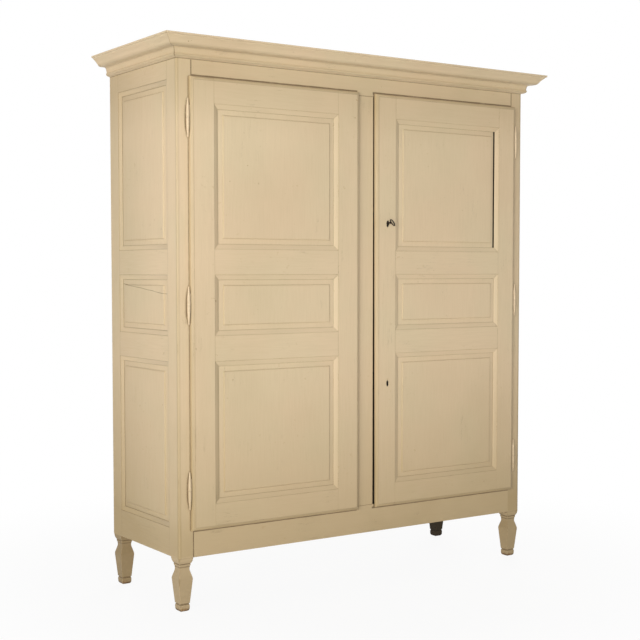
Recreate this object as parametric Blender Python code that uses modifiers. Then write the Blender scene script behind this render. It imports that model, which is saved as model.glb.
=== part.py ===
# Painted two-door wardrobe: frame-and-panel carcass on shaped feet, mitred cornice, two lipped doors.
# Metres, +Z up. The origin lies on the floor under the middle of the whole piece, doors towards -Y.
import math

import bmesh
import bpy
from mathutils import Matrix

# Whole piece
BODY_WIDTH = 1.608
BODY_DEPTH = 0.530
TOTAL_HEIGHT = 2.000

# Clearances
FIT_GAP = 0.0003
RUNNING_GAP = 0.0005
CUT_OVERRUN = 0.004
MERGE_DISTANCE = 0.00001

# Corner posts and feet
POST_WIDTH = 0.058
POST_FACE = 0.070
POST_CORNER_RADIUS = 0.008
FOOT_HEIGHT = 0.192
FOOT_SETBACK = 0.031
FOOT_PROFILE_SHARES = (
    (0.000, 0.450), (0.008, 0.530), (0.021, 0.600), (0.045, 0.645), (0.090, 0.660), (0.120, 0.645),
    (0.131, 0.585), (0.142, 0.590), (0.151, 0.672), (0.583, 0.940), (0.615, 0.948), (0.646, 0.897),
    (0.760, 0.672), (0.792, 0.655), (0.839, 0.690), (0.852, 0.741), (0.875, 0.767), (0.885, 0.724),
    (0.896, 0.810), (0.938, 0.931), (0.979, 0.983), (1.000, 0.993),
)

# Front frame
RAIL_THICKNESS = 0.028
FRONT_BOTTOM_RAIL_HEIGHT = 0.106
FRONT_TOP_RAIL_HEIGHT = 0.114
CENTRE_POST_WIDTH = 0.094
CENTRE_POST_TRIM = 0.008
FRAME_TENON_LENGTH = 0.036
SHOULDER_LINE_WIDTH = 0.0005
SHOULDER_LINE_DEPTH = 0.0008
CENTRE_TENON_LENGTH = 0.030

# Side frames
SIDE_THICKNESS = 0.026
SIDE_BOTTOM_RAIL_HEIGHT = 0.101
SIDE_TOP_RAIL_HEIGHT = 0.110

# Sticking cut on the frames' inner edges, and the panels held in their grooves
MOULDING_WIDTH = 0.018
MOULDING_QUIRK = 0.0012
MOULDING_DEPTH = 0.0075
MOULDING_OUTLINE_SHARES = ((0.00, 0.00), (0.80, 0.62), (1.00, 1.00))
BAND_TRIM = 0.0005
GROOVE_FRONT = 0.0080
PANEL_TONGUE = 0.0080
GROOVE_REACH = 0.0105
TONGUE_REACH = 0.0090
PANEL_MARGIN = 0.018
PANEL_MARGIN_RISE = 0.0018
PANEL_STEP = 0.0036
PANEL_STEP_WIDTH = 0.0035
PANEL_EDGE_FLAT = 0.0010
SHRUNK_PANEL_OPENING = 0.0030

# Doors
LIP = 0.011
LIP_GAP = 0.0008
DOOR_PROUD = 0.018
DOOR_REBATE = 0.008
DOOR_SIDE_GAP = 0.0008
MEETING_GAP_TOP = 0.0018
MEETING_GAP_BOTTOM = 0.0070
HINGE_STILE_WIDTH = 0.092
MEETING_STILE_WIDTH = 0.099
DOOR_RAIL_HEIGHT = 0.090
MIDDLE_PANEL_HEIGHT = 0.214
DOOR_TENON_LENGTH = 0.058
TENON_HAUNCH = 0.012
THUMBNAIL_WIDTH = 0.011
THUMBNAIL_QUIRK = 0.0010
THUMBNAIL_DEPTH = 0.0090
THUMBNAIL_TURNS = 4

# Cornice
CORNICE_OVERHANG = 0.074
CORNICE_HEIGHT = 0.072
CORNICE_RISE = 0.028
CORNICE_OUTLINE_SHARES = (
    (0.11, 0.03), (0.17, 0.06), (0.205, 0.11), (0.205, 0.16), (0.175, 0.205), (0.18, 0.24),
    (0.19, 0.32), (0.215, 0.41), (0.25, 0.47), (0.27, 0.48), (0.55, 0.49), (0.61, 0.52), (0.66, 0.58),
    (0.73, 0.68), (0.81, 0.77), (0.89, 0.84), (0.91, 0.88), (0.97, 0.90), (1.00, 0.93), (1.00, 1.00),
)

# Boards, glued edge to edge
BACK_THICKNESS = 0.012
BACK_BOARD_COUNT = 9
BACK_REBATE = 0.018
FLOOR_THICKNESS = 0.018
FLOOR_BOARD_COUNT = 10
FLOOR_DROP = 0.010
FLOOR_REBATE = 0.008
TOP_THICKNESS = 0.018
TOP_BOARD_COUNT = 3
BOARD_JOINT_WIDTH = 0.0012
BOARD_JOINT_DEPTH = 0.0020
REAR_RAIL_THICKNESS = 0.024

# Hat shelf and hanging rail
HAT_SPACE_HEIGHT = 0.312
SHELF_THICKNESS = 0.020
SHELF_BOARD_COUNT = 3
SHELF_FRONT_SETBACK = 0.040
BEARER_HEIGHT = 0.090
BEARER_THICKNESS = 0.024
HANGING_RAIL_RADIUS = 0.014
HANGING_RAIL_DROP = 0.045
HANGING_RAIL_SEAT = 0.014

# Hinges: slim turned spindles with a leaf let into the frame and one into the door
HINGE_LENGTH = 0.137
HINGE_RADIUS = 0.0065
HINGE_END_INSET = 0.143
HINGE_PROUD = 0.0095
HINGE_DOOR_GAP = 0.0006
HINGE_PIN_RADIUS = 0.0030
HINGE_PIN_GAP = 0.0003
HINGE_PIN_LENGTH = 0.034
HINGE_JOINT_GAP = 0.0006
HINGE_LEAF_THICKNESS = 0.0024
HINGE_LEAF_REACH = 0.028
HINGE_LEAF_SHARES = (0.06, 0.62)
HINGE_PROFILE_SHARES = (
    (0.00, 1.00), (0.28, 0.97), (0.55, 0.80), (0.76, 0.55), (0.84, 0.44), (0.90, 0.50), (0.96, 0.36),
)

# Locks on the right door
KEYHOLE_INSET = 0.060
UPPER_KEYHOLE_RISE = 0.107
LOWER_KEYHOLE_DROP = 0.112
KEYHOLE_RADIUS = 0.0036
KEYHOLE_SLOT_WIDTH = 0.0050
KEYHOLE_SLOT_LENGTH = 0.0150
LOCK_CASE_WIDTH = 0.086
LOCK_CASE_HEIGHT = 0.066
LOCK_CASE_DEPTH = 0.017
LOCK_CASE_DROP = 0.026
LOCK_WALL = 0.0020
BIT_CHAMBER_RADIUS = 0.0165
BIT_CHAMBER_DEPTH = 0.0065
LOCK_BOLT_THICKNESS = 0.0050
LOCK_BOLT_HEIGHT = 0.0140
LOCK_BOLT_RISE = 0.0120
LOCK_BOLT_LENGTH = 0.062
LOCK_BOLT_THROW = 0.0180
BOLT_MORTISE_MARGIN = 0.0015

# Key in the upper lock, left part-turned
KEY_TURN = math.radians(37)
KEY_SHANK_RADIUS = 0.0026
KEY_BOW_CENTRE = 0.030
KEY_BOW_LENGTH = 0.032
KEY_BOW_WIDTH = 0.020
KEY_BOW_BAR = 0.0042
KEY_COLLAR_RADIUS = 0.0042
KEY_COLLAR_LENGTH = 0.0030
KEY_BIT_REACH = 0.0150
KEY_BIT_THICKNESS = 0.0032
KEY_TIP = 0.0010

# Sliding bolt in its guide plate on the back of the left door
SLIDE_BOLT_WIDTH = 0.012
SLIDE_BOLT_THICKNESS = 0.005
SLIDE_BOLT_LENGTH = 0.200
SLIDE_BOLT_INSET = 0.048
SLIDE_BOLT_THROW = 0.014
SLIDE_BOLT_REST_GAP = 0.0016
GUIDE_PLATE_WIDTH = 0.032
GUIDE_PLATE_LENGTH = 0.165
GUIDE_PLATE_THICKNESS = 0.0015
GUIDE_PLATE_SETBACK = 0.022
GUIDE_STRAP_LENGTH = 0.012
GUIDE_STRAP_WALL = 0.0025
KNOB_RADIUS = 0.006
KNOB_LENGTH = 0.012

# Places that follow from the sizes above
LEFT_X = -BODY_WIDTH / 2
RIGHT_X = BODY_WIDTH / 2
FRONT_Y = (CORNICE_OVERHANG - BODY_DEPTH) / 2
BACK_Y = FRONT_Y + BODY_DEPTH
CARCASS_TOP = TOTAL_HEIGHT - CORNICE_RISE
DOORWAY_BOTTOM = FOOT_HEIGHT + FRONT_BOTTOM_RAIL_HEIGHT
DOORWAY_TOP = CARCASS_TOP - FRONT_TOP_RAIL_HEIGHT
DOORWAY_WIDTH = (BODY_WIDTH - CENTRE_POST_WIDTH) / 2 - POST_WIDTH
DOOR_BOTTOM = DOORWAY_BOTTOM - LIP
DOOR_TOP = DOORWAY_TOP + LIP
DOOR_WIDTH = DOORWAY_WIDTH + 2 * LIP
DOOR_THICKNESS = DOOR_PROUD + DOOR_REBATE
DOOR_FACE_Y = FRONT_Y - DOOR_PROUD
DOOR_BACK_Y = FRONT_Y + DOOR_REBATE
GROOVE_BACK = GROOVE_FRONT + PANEL_TONGUE + 2 * FIT_GAP
POST_DEPTH = POST_FACE + MOULDING_WIDTH - BAND_TRIM
HINGE_AXIS_X = BODY_WIDTH / 2 - POST_WIDTH + LIP + HINGE_DOOR_GAP + HINGE_RADIUS
HINGE_AXIS_Y = FRONT_Y - HINGE_PROUD
HINGE_HEIGHTS = {
    "lower": DOOR_BOTTOM + HINGE_END_INSET,
    "middle": (DOOR_BOTTOM + DOOR_TOP) / 2,
    "upper": DOOR_TOP - HINGE_END_INSET,
}
BACK_PANEL_FRONT = BACK_Y - BACK_THICKNESS
REAR_RAIL_BACK = BACK_PANEL_FRONT - FIT_GAP
REAR_RAIL_FRONT = REAR_RAIL_BACK - REAR_RAIL_THICKNESS
SIDE_NAMES = {-1: "left", 1: "right"}
LEFT, RIGHT = SIDE_NAMES
X_AXIS, Y_AXIS, Z_AXIS = range(3)

# Finishes: colour, roughness, metallic
AGED_PAINT = ((0.66, 0.56, 0.41), 0.55, 0.0)
BARE_WOOD = ((0.40, 0.27, 0.15), 0.75, 0.0)
DARK_IRON = ((0.045, 0.032, 0.026), 0.55, 1.0)

for leftover in list(bpy.data.objects):
    bpy.data.objects.remove(leftover, do_unlink=True)

wardrobe = bpy.data.collections.new("wardrobe")
cutters = bpy.data.collections.new("cutters")
bpy.context.scene.collection.children.link(wardrobe)
bpy.context.scene.collection.children.link(cutters)


# Solids of rectangular sections

def span(a, b):
    return (min(a, b), max(a, b))


def mirrored(side, a, b):
    """A span of distances from the middle, laid out on the left or the right side."""
    return span(side * a, side * b)


def add_loft(mesh, axis, sections):
    """Add a solid whose rectangular sections are (place along the axis, first span, second span)."""
    first, second = [i for i in range(3) if i != axis]
    grid = bmesh.ops.create_grid(mesh, x_segments=1, y_segments=1, size=1)
    face = grid["verts"][0].link_faces[0]
    corners = {vert: (vert.co.x > 0, vert.co.y > 0) for vert in face.verts}
    for index, (place, first_span, second_span) in enumerate(sections):
        if index > 0:
            extruded = bmesh.ops.extrude_face_region(mesh, geom=[face])["geom"]
            new_face = [item for item in extruded if isinstance(item, bmesh.types.BMFace)][0]
            corners = {vert: nearest_corner(vert, corners) for vert in new_face.verts}
            if index > 1:
                bmesh.ops.delete(mesh, geom=[face], context="FACES_ONLY")
            face = new_face
        for vert, (far_first, far_second) in corners.items():
            vert.co[axis] = place
            vert.co[first] = first_span[far_first]
            vert.co[second] = second_span[far_second]


def nearest_corner(vert, corners):
    """The corner of the last section that a freshly grown corner still lies on."""
    return corners[min(corners, key=lambda old: (old.co - vert.co).length)]


def mesh_object(name, mesh, collection):
    bmesh.ops.recalc_face_normals(mesh, faces=mesh.faces)
    data = bpy.data.meshes.new(name)
    mesh.to_mesh(data)
    mesh.free()
    thing = bpy.data.objects.new(name, data)
    collection.objects.link(thing)
    return thing


def lofted(name, axis, *solids, collection=None):
    """One object of one or more separate lofted solids."""
    mesh = bmesh.new()
    for sections in solids:
        add_loft(mesh, axis, sections)
    return mesh_object(name, mesh, collection or wardrobe)


def block(x_span, y_span, z_span):
    """Sections along Z of a plain block."""
    return [(z_span[0], x_span, y_span), (z_span[1], x_span, y_span)]


def grown(a_span, margin):
    return (a_span[0] - margin, a_span[1] + margin)


def cutter(thing):
    thing.hide_render = True
    thing.display_type = "WIRE"
    return thing


def carve(thing, tool, operation="DIFFERENCE"):
    modifier = thing.modifiers.new(tool.name, "BOOLEAN")
    modifier.operation = operation
    modifier.solver = "EXACT"
    modifier.object = tool


def block_cutter(name, *blocks):
    return cutter(lofted(name, Z_AXIS, *[block(*sizes) for sizes in blocks], collection=cutters))


def cylinder(mesh, radius, length, axis, centre, sides=16):
    """Add a closed cylinder along the X or the Y axis."""
    turn = Matrix.Rotation(math.pi / 2, 4, "Y" if axis == X_AXIS else "X")
    bmesh.ops.create_cone(
        mesh, cap_ends=True, segments=sides, radius1=radius, radius2=radius, depth=length,
        matrix=Matrix.Translation(centre) @ turn,
    )


# Sticking: the moulded edge and panel groove round one opening

def opening_profile(thickness):
    """Insets and depths of everything cut away at an opening, from in front of the face to behind it."""
    edge = [(0, -CUT_OVERRUN)]
    for inset, depth in MOULDING_OUTLINE_SHARES:
        fall = depth * (MOULDING_DEPTH - MOULDING_QUIRK)
        edge.append((inset * MOULDING_WIDTH, MOULDING_QUIRK + fall))
    groove = MOULDING_WIDTH - GROOVE_REACH
    return edge + [
        (MOULDING_WIDTH, GROOVE_FRONT), (groove, GROOVE_FRONT), (groove, GROOVE_BACK),
        (MOULDING_WIDTH, GROOVE_BACK), (MOULDING_WIDTH, thickness + CUT_OVERRUN),
    ]


def framed_sections(profile, face, inward, first_span, second_span):
    return [
        (face + inward * depth, grown(first_span, -inset), grown(second_span, -inset))
        for inset, depth in profile
    ]


def fielded_panel(name, axis, face, inward, first_span, second_span):
    """A panel with a thin tongue all round, a low margin and a raised field in the middle."""
    tongue = MOULDING_WIDTH - TONGUE_REACH
    front = GROOVE_FRONT + FIT_GAP
    margin_end = MOULDING_WIDTH + PANEL_MARGIN
    profile = [
        (tongue, front + PANEL_TONGUE), (tongue, front), (MOULDING_WIDTH + PANEL_EDGE_FLAT, front),
        (margin_end, front - PANEL_MARGIN_RISE),
        (margin_end + PANEL_STEP_WIDTH, front - PANEL_MARGIN_RISE - PANEL_STEP),
    ]
    return lofted(name, axis, framed_sections(profile, face, inward, first_span, second_span))


def stile_sections(low, high, openings, near, arris, sight, across):
    """Sections along Z of an upright that widens from its arris to its sight edge at each opening."""
    band = abs(sight - arris)
    sections = [(low, span(near, arris), across)]
    for bottom, top in [grown(opening, -FIT_GAP / 2) for opening in openings]:
        sections += [
            (bottom, span(near, arris), across), (bottom + band, span(near, sight), across),
            (top - band, span(near, sight), across), (top, span(near, arris), across),
        ]
    return sections + [(high, span(near, arris), across)]


def rail_sections(ends, flat, moulded_below, moulded_above, face_span, tenon_layer):
    """Sections along a door rail: tenon, mitred shoulder, moulded length, mitred shoulder, tenon."""
    band = MOULDING_WIDTH - BAND_TRIM
    low_band = band if moulded_below else 0
    high_band = band if moulded_above else 0
    full = (flat[0] - low_band, flat[1] + high_band)
    tenon = grown(flat, -TENON_HAUNCH)
    start, stop = ends[0] + FIT_GAP, ends[1] - FIT_GAP
    return [
        (start - DOOR_TENON_LENGTH, tenon_layer, tenon), (start, tenon_layer, tenon),
        (start, face_span, flat), (start + band, face_span, full),
        (stop - band, face_span, full), (stop, face_span, flat),
        (stop, tenon_layer, tenon), (stop + DOOR_TENON_LENGTH, tenon_layer, tenon),
    ]


# Heights of the panel openings, arris to arris

OUTER_PANEL_HEIGHT = (DOOR_TOP - DOOR_BOTTOM - 4 * DOOR_RAIL_HEIGHT - MIDDLE_PANEL_HEIGHT) / 2
LOWER_TOP = DOOR_BOTTOM + DOOR_RAIL_HEIGHT + OUTER_PANEL_HEIGHT
MIDDLE_BOTTOM = LOWER_TOP + DOOR_RAIL_HEIGHT
MIDDLE_TOP = MIDDLE_BOTTOM + MIDDLE_PANEL_HEIGHT
UPPER_BOTTOM = MIDDLE_TOP + DOOR_RAIL_HEIGHT
DOOR_OPENINGS = {
    "lower": (DOOR_BOTTOM + DOOR_RAIL_HEIGHT, LOWER_TOP),
    "middle": (MIDDLE_BOTTOM, MIDDLE_TOP),
    "upper": (UPPER_BOTTOM, DOOR_TOP - DOOR_RAIL_HEIGHT),
}
SIDE_OPENINGS = {
    "lower": (FOOT_HEIGHT + SIDE_BOTTOM_RAIL_HEIGHT, LOWER_TOP),
    "middle": (MIDDLE_BOTTOM, MIDDLE_TOP),
    "upper": (UPPER_BOTTOM, CARCASS_TOP - SIDE_TOP_RAIL_HEIGHT),
}
SIDE_FLAT = (FRONT_Y + POST_FACE, BACK_Y - POST_FACE)


def side_face(side):
    return side * BODY_WIDTH / 2


def side_rail_heights():
    """Height spans of a side frame's flat rails, from the bottom up."""
    return (
        (FOOT_HEIGHT, SIDE_OPENINGS["lower"][0]), (LOWER_TOP, MIDDLE_BOTTOM), (MIDDLE_TOP, UPPER_BOTTOM),
        (SIDE_OPENINGS["upper"][1], CARCASS_TOP),
    )


def side_opening_cutters(side):
    tools = []
    for level, heights in SIDE_OPENINGS.items():
        sections = framed_sections(opening_profile(POST_WIDTH), side_face(side), -side, SIDE_FLAT, heights)
        name = f"{SIDE_NAMES[side]}_side_{level}_opening"
        tools.append(cutter(lofted(name, X_AXIS, sections, collection=cutters)))
    return tools


def side_rails(side):
    """The four rails of a side frame, which run into both posts and carry the mouldings' full width."""
    face = side_face(side)
    rail_x = span(face, face - side * SIDE_THICKNESS)
    band = MOULDING_WIDTH - BAND_TRIM - FIT_GAP
    blocks = []
    for low, high in side_rail_heights():
        moulded_low = low if low == FOOT_HEIGHT else low - band
        moulded_high = high if high == CARCASS_TOP else high + band
        blocks.append((rail_x, SIDE_FLAT, (moulded_low, moulded_high)))
    return block_cutter(f"{SIDE_NAMES[side]}_side_rails", *blocks)


def shoulder_lines(side):
    """Fine lines on the outer face where the side rails' shoulders meet the posts."""
    face = side_face(side)
    depth = span(face + side * CUT_OVERRUN, face - side * SHOULDER_LINE_DEPTH)
    half = SHOULDER_LINE_WIDTH / 2
    blocks = [
        (depth, (arris - half, arris + half), heights)
        for heights in side_rail_heights() for arris in SIDE_FLAT
    ]
    return block_cutter(f"{SIDE_NAMES[side]}_shoulder_lines", *blocks)


def foot_sections(centre_x, centre_y):
    """The shaped foot, from the floor to the underside of the rails."""
    sections = []
    for height_share, width_share in FOOT_PROFILE_SHARES:
        half = POST_WIDTH * width_share / 2
        level = FOOT_HEIGHT * height_share
        sections.append((level, (centre_x - half, centre_x + half), (centre_y - half, centre_y + half)))
    return sections


def corner_post(side, depth_side, name, collection):
    """A post with its foot: depth_side is -1 at the front and 1 at the back."""
    face = side_face(side)
    end_y = FRONT_Y if depth_side < 0 else BACK_Y
    across = span(face, face - side * POST_WIDTH)
    post_y = span(end_y, end_y - depth_side * POST_DEPTH)
    sections = foot_sections(face - side * POST_WIDTH / 2, end_y - depth_side * FOOT_SETBACK)
    sections += [(FOOT_HEIGHT, across, post_y), (CARCASS_TOP, across, post_y)]
    mesh = bmesh.new()
    add_loft(mesh, Z_AXIS, sections)
    if depth_side < 0:
        round_outer_corner(mesh, face, end_y)
    return mesh_object(name, mesh, collection)


def round_outer_corner(mesh, x, y):
    """Round the upright arris at one corner of the post, above its foot."""
    edges = [
        edge for edge in mesh.edges
        if all(abs(vert.co.x - x) < FIT_GAP and abs(vert.co.y - y) < FIT_GAP for vert in edge.verts)
        and edge.calc_length() > FOOT_HEIGHT
    ]
    bmesh.ops.bevel(
        mesh, geom=edges, offset=POST_CORNER_RADIUS, segments=3, profile=0.5, affect="EDGES",
        clamp_overlap=True, material=-1,
    )


def build_side_frame(side):
    """Two posts on their feet and four rails between them, glued up as one frame."""
    name = SIDE_NAMES[side]
    frame = corner_post(side, -1, f"{name}_side_frame", wardrobe)
    rear_post = cutter(corner_post(side, 1, f"{name}_rear_post", cutters))
    carve(frame, side_rails(side), "UNION")
    carve(frame, rear_post, "UNION")
    for tool in side_opening_cutters(side):
        carve(frame, tool)
    carve(frame, shoulder_lines(side))
    return frame


# Front frame, back rails and centre post

FRAME_ENDS = (LEFT_X + POST_WIDTH, RIGHT_X - POST_WIDTH)
FRONT_RAIL_Y = (FRONT_Y, FRONT_Y + RAIL_THICKNESS)
REAR_RAIL_Y = (REAR_RAIL_FRONT, REAR_RAIL_BACK)
CENTRE_POST_X = (-CENTRE_POST_WIDTH / 2, CENTRE_POST_WIDTH / 2 - CENTRE_POST_TRIM)


def cross_rail(name, heights, rail_y):
    """A plain rail between two posts, with a tenon of a third of its thickness at each end."""
    third = (rail_y[1] - rail_y[0]) / 3
    tenon_y = grown(rail_y, -third)
    tenon_z = grown(heights, -TENON_HAUNCH)
    start, stop = FRAME_ENDS[0] + FIT_GAP, FRAME_ENDS[1] - FIT_GAP
    return lofted(name, X_AXIS, [
        (start - FRAME_TENON_LENGTH, tenon_y, tenon_z), (start, tenon_y, tenon_z),
        (start, rail_y, heights), (stop, rail_y, heights),
        (stop, tenon_y, tenon_z), (stop + FRAME_TENON_LENGTH, tenon_y, tenon_z),
    ])


CROSS_RAILS = {
    "front_bottom_rail": ((FOOT_HEIGHT, DOORWAY_BOTTOM), FRONT_RAIL_Y),
    "front_top_rail": ((DOORWAY_TOP, CARCASS_TOP), FRONT_RAIL_Y),
    "rear_bottom_rail": ((FOOT_HEIGHT, DOORWAY_BOTTOM), REAR_RAIL_Y),
    "rear_top_rail": ((DOORWAY_TOP, CARCASS_TOP), REAR_RAIL_Y),
}


def cross_rail_mortises():
    """Mortises for the cross rails, in all four posts."""
    blocks = []
    for heights, rail_y in CROSS_RAILS.values():
        third = (rail_y[1] - rail_y[0]) / 3
        tenon_y = grown(rail_y, FIT_GAP - third)
        tenon_z = grown(heights, FIT_GAP - TENON_HAUNCH)
        for end, outward in ((FRAME_ENDS[0], -1), (FRAME_ENDS[1], 1)):
            depth = span(end - outward * CUT_OVERRUN, end + outward * FRAME_TENON_LENGTH)
            blocks.append((depth, tenon_y, tenon_z))
    return block_cutter("cross_rail_mortises", *blocks)


def centre_post():
    """The fixed post. Its right edge is trimmed back to the right door's lip, which doesn't lap over it."""
    third = RAIL_THICKNESS / 3
    tenon_x = grown(CENTRE_POST_X, -TENON_HAUNCH)
    tenon_y = grown(FRONT_RAIL_Y, -third)
    low, high = DOORWAY_BOTTOM + FIT_GAP, DOORWAY_TOP - FIT_GAP
    post = lofted("centre_post", Z_AXIS, [
        (low - CENTRE_TENON_LENGTH, tenon_x, tenon_y), (low, tenon_x, tenon_y),
        (low, CENTRE_POST_X, FRONT_RAIL_Y), (high, CENTRE_POST_X, FRONT_RAIL_Y),
        (high, tenon_x, tenon_y), (high + CENTRE_TENON_LENGTH, tenon_x, tenon_y),
    ])
    mortise_x = grown(tenon_x, FIT_GAP)
    mortise_y = grown(tenon_y, FIT_GAP)
    blocks = [
        (mortise_x, mortise_y, span(level - up * CUT_OVERRUN, level + up * CENTRE_TENON_LENGTH))
        for level, up in ((DOORWAY_BOTTOM, -1), (DOORWAY_TOP, 1))
    ]
    return post, block_cutter("centre_post_mortises", *blocks)


# Doors

def door_edges(side):
    """The door's hinge edge and meeting edge."""
    hinge = side * (BODY_WIDTH / 2 - POST_WIDTH + LIP)
    return hinge, hinge - side * DOOR_WIDTH


def thumbnail_outline():
    """Points (inset, depth) of the quarter-round on the door's front edge, from its small step outwards."""
    points = [(THUMBNAIL_WIDTH, 0)]
    for turn in range(THUMBNAIL_TURNS + 1):
        angle = math.pi / 2 * turn / THUMBNAIL_TURNS
        fall = (THUMBNAIL_DEPTH - THUMBNAIL_QUIRK) * (1 - math.cos(angle))
        points.append((THUMBNAIL_WIDTH * (1 - math.sin(angle)), THUMBNAIL_QUIRK + fall))
    return points


def door_envelope(side):
    """The door's outline in section: rebate behind, lip, and thumbnail moulding round the front."""
    hinge, meeting = door_edges(side)
    edge_x = span(hinge, meeting)
    edge_z = (DOOR_BOTTOM, DOOR_TOP)
    rebate = LIP + DOOR_SIDE_GAP
    profile = thumbnail_outline()
    profile += [(0, DOOR_PROUD - LIP_GAP), (rebate, DOOR_PROUD - LIP_GAP), (rebate, DOOR_THICKNESS)]
    sections = framed_sections(profile, DOOR_FACE_Y, 1, edge_x, edge_z)
    envelope = lofted(f"{SIDE_NAMES[side]}_door_envelope", Y_AXIS, sections, collection=cutters)
    if side == RIGHT:
        lean_meeting_lip(envelope, meeting)
    return cutter(envelope)


def lean_meeting_lip(envelope, meeting):
    """Set the right door's lip back from the centre post, by more at the bottom than at the top."""
    lip_back = DOOR_FACE_Y + DOOR_PROUD - LIP_GAP
    lean = (MEETING_GAP_BOTTOM - MEETING_GAP_TOP) / (DOOR_TOP - DOOR_BOTTOM)
    for vert in envelope.data.vertices:
        on_meeting_side = vert.co.x < meeting + DOOR_WIDTH / 2
        before_rebate = vert.co.y < lip_back - FIT_GAP or vert.co.x < meeting + FIT_GAP
        if on_meeting_side and before_rebate:
            gap = MEETING_GAP_TOP + lean * (DOOR_TOP - vert.co.z)
            vert.co.x += CENTRE_POST_X[1] + gap - meeting


def door_flat(side):
    """The arrises of the stiles, between which the panels lie."""
    hinge, meeting = door_edges(side)
    return hinge - side * HINGE_STILE_WIDTH, meeting + side * MEETING_STILE_WIDTH


DOOR_TENON_Y = (DOOR_FACE_Y + GROOVE_FRONT + FIT_GAP, DOOR_FACE_Y + GROOVE_FRONT + FIT_GAP + PANEL_TONGUE)
DOOR_Y = (DOOR_FACE_Y, DOOR_BACK_Y)
DOOR_RAILS = {
    "bottom_rail": (DOOR_BOTTOM, DOOR_OPENINGS["lower"][0]),
    "lower_middle_rail": (LOWER_TOP, MIDDLE_BOTTOM),
    "upper_middle_rail": (MIDDLE_TOP, UPPER_BOTTOM),
    "top_rail": (DOOR_OPENINGS["upper"][1], DOOR_TOP),
}


def door_mortises(side):
    blocks = []
    for arris, outward in zip(door_flat(side), (side, -side)):
        for flat in DOOR_RAILS.values():
            depth = span(arris - outward * CUT_OVERRUN, arris + outward * (DOOR_TENON_LENGTH + FIT_GAP))
            blocks.append((depth, grown(DOOR_TENON_Y, FIT_GAP), grown(flat, FIT_GAP - TENON_HAUNCH)))
    return block_cutter(f"{SIDE_NAMES[side]}_door_mortises", *blocks)


def door_opening_cutters(side):
    tools = []
    for level, heights in DOOR_OPENINGS.items():
        sections = framed_sections(
            opening_profile(DOOR_THICKNESS), DOOR_FACE_Y, 1, span(*door_flat(side)), heights,
        )
        name = f"{SIDE_NAMES[side]}_door_{level}_opening"
        tools.append(cutter(lofted(name, Y_AXIS, sections, collection=cutters)))
    return tools


def build_door(side):
    """Stiles, rails and panels of one door. Returns its pieces by short name."""
    name = f"{SIDE_NAMES[side]}_door"
    hinge, meeting = door_edges(side)
    hinge_arris, meeting_arris = door_flat(side)
    band = MOULDING_WIDTH - BAND_TRIM
    openings = list(DOOR_OPENINGS.values())
    envelope = door_envelope(side)
    opening_tools = door_opening_cutters(side)
    mortises = door_mortises(side)
    loose_y = grown(DOOR_Y, CUT_OVERRUN)
    loose_z = grown((DOOR_BOTTOM, DOOR_TOP), CUT_OVERRUN)
    pieces = {}
    stiles = (
        ("hinge_stile", hinge + side * CUT_OVERRUN, hinge_arris, hinge_arris - side * band),
        ("meeting_stile", meeting - side * CUT_OVERRUN, meeting_arris, meeting_arris + side * band),
    )
    for stile_name, near, arris, sight in stiles:
        sections = stile_sections(*loose_z, openings, near, arris, sight, loose_y)
        stile = lofted(f"{name}_{stile_name}", Z_AXIS, sections)
        carve(stile, envelope, "INTERSECT")
        for tool in opening_tools + [mortises]:
            carve(stile, tool)
        pieces[stile_name] = stile
    for rail_name, flat in DOOR_RAILS.items():
        lowest, highest = rail_name == "bottom_rail", rail_name == "top_rail"
        ends = span(hinge_arris, meeting_arris)
        face_y = loose_y if lowest or highest else DOOR_Y
        flat = (flat[0] - lowest * CUT_OVERRUN, flat[1] + highest * CUT_OVERRUN)
        sections = rail_sections(ends, flat, not lowest, not highest, face_y, DOOR_TENON_Y)
        sections = shortened_tenons(sections, lowest, highest)
        rail = lofted(f"{name}_{rail_name}", X_AXIS, sections)
        if lowest or highest:
            carve(rail, envelope, "INTERSECT")
        for tool in opening_tools:
            carve(rail, tool)
        pieces[rail_name] = rail
    for level, heights in DOOR_OPENINGS.items():
        pieces[f"{level}_panel"] = fielded_panel(
            f"{name}_{level}_panel", Y_AXIS, DOOR_FACE_Y, 1, span(*door_flat(side)), heights,
        )
    return pieces


def shrink_from_hinge_side(panel, side):
    """A panel that has shrunk: its tongue has left the groove and an open slot shows beside the stile."""
    arris = door_flat(side)[0]
    lost = span(arris, arris - side * (MOULDING_WIDTH + SHRUNK_PANEL_OPENING))
    carve(panel, block_cutter("shrunk_panel_edge", (
        lost, grown(DOOR_Y, CUT_OVERRUN), grown(DOOR_OPENINGS["upper"], CUT_OVERRUN),
    )))


def shortened_tenons(sections, lowest, highest):
    """Keep a tenon's haunch measured from the door's edge where the rail is made oversize there."""
    low, high = lowest * CUT_OVERRUN, highest * CUT_OVERRUN
    return [
        (place, across, (heights[0] + low, heights[1] - high) if across == DOOR_TENON_Y else heights)
        for place, across, heights in sections
    ]


# Hinges

def spindle_points(up):
    """Half of the turned spindle, from the joint in the middle to its pointed tip."""
    half = HINGE_LENGTH / 2
    points = [(HINGE_RADIUS * radius, up * half * height) for height, radius in HINGE_PROFILE_SHARES]
    return points + [(0, up * half)]


def frame_half_profile(height):
    """The lower half with its pin, from the top of the pin down."""
    pin = [(0, HINGE_PIN_LENGTH), (HINGE_PIN_RADIUS, HINGE_PIN_LENGTH)]
    shoulder = [(HINGE_PIN_RADIUS, -HINGE_JOINT_GAP), (HINGE_RADIUS, -HINGE_JOINT_GAP)]
    points = pin + shoulder + spindle_points(-1)[1:]
    return [(radius, height + z) for radius, z in points]


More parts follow.
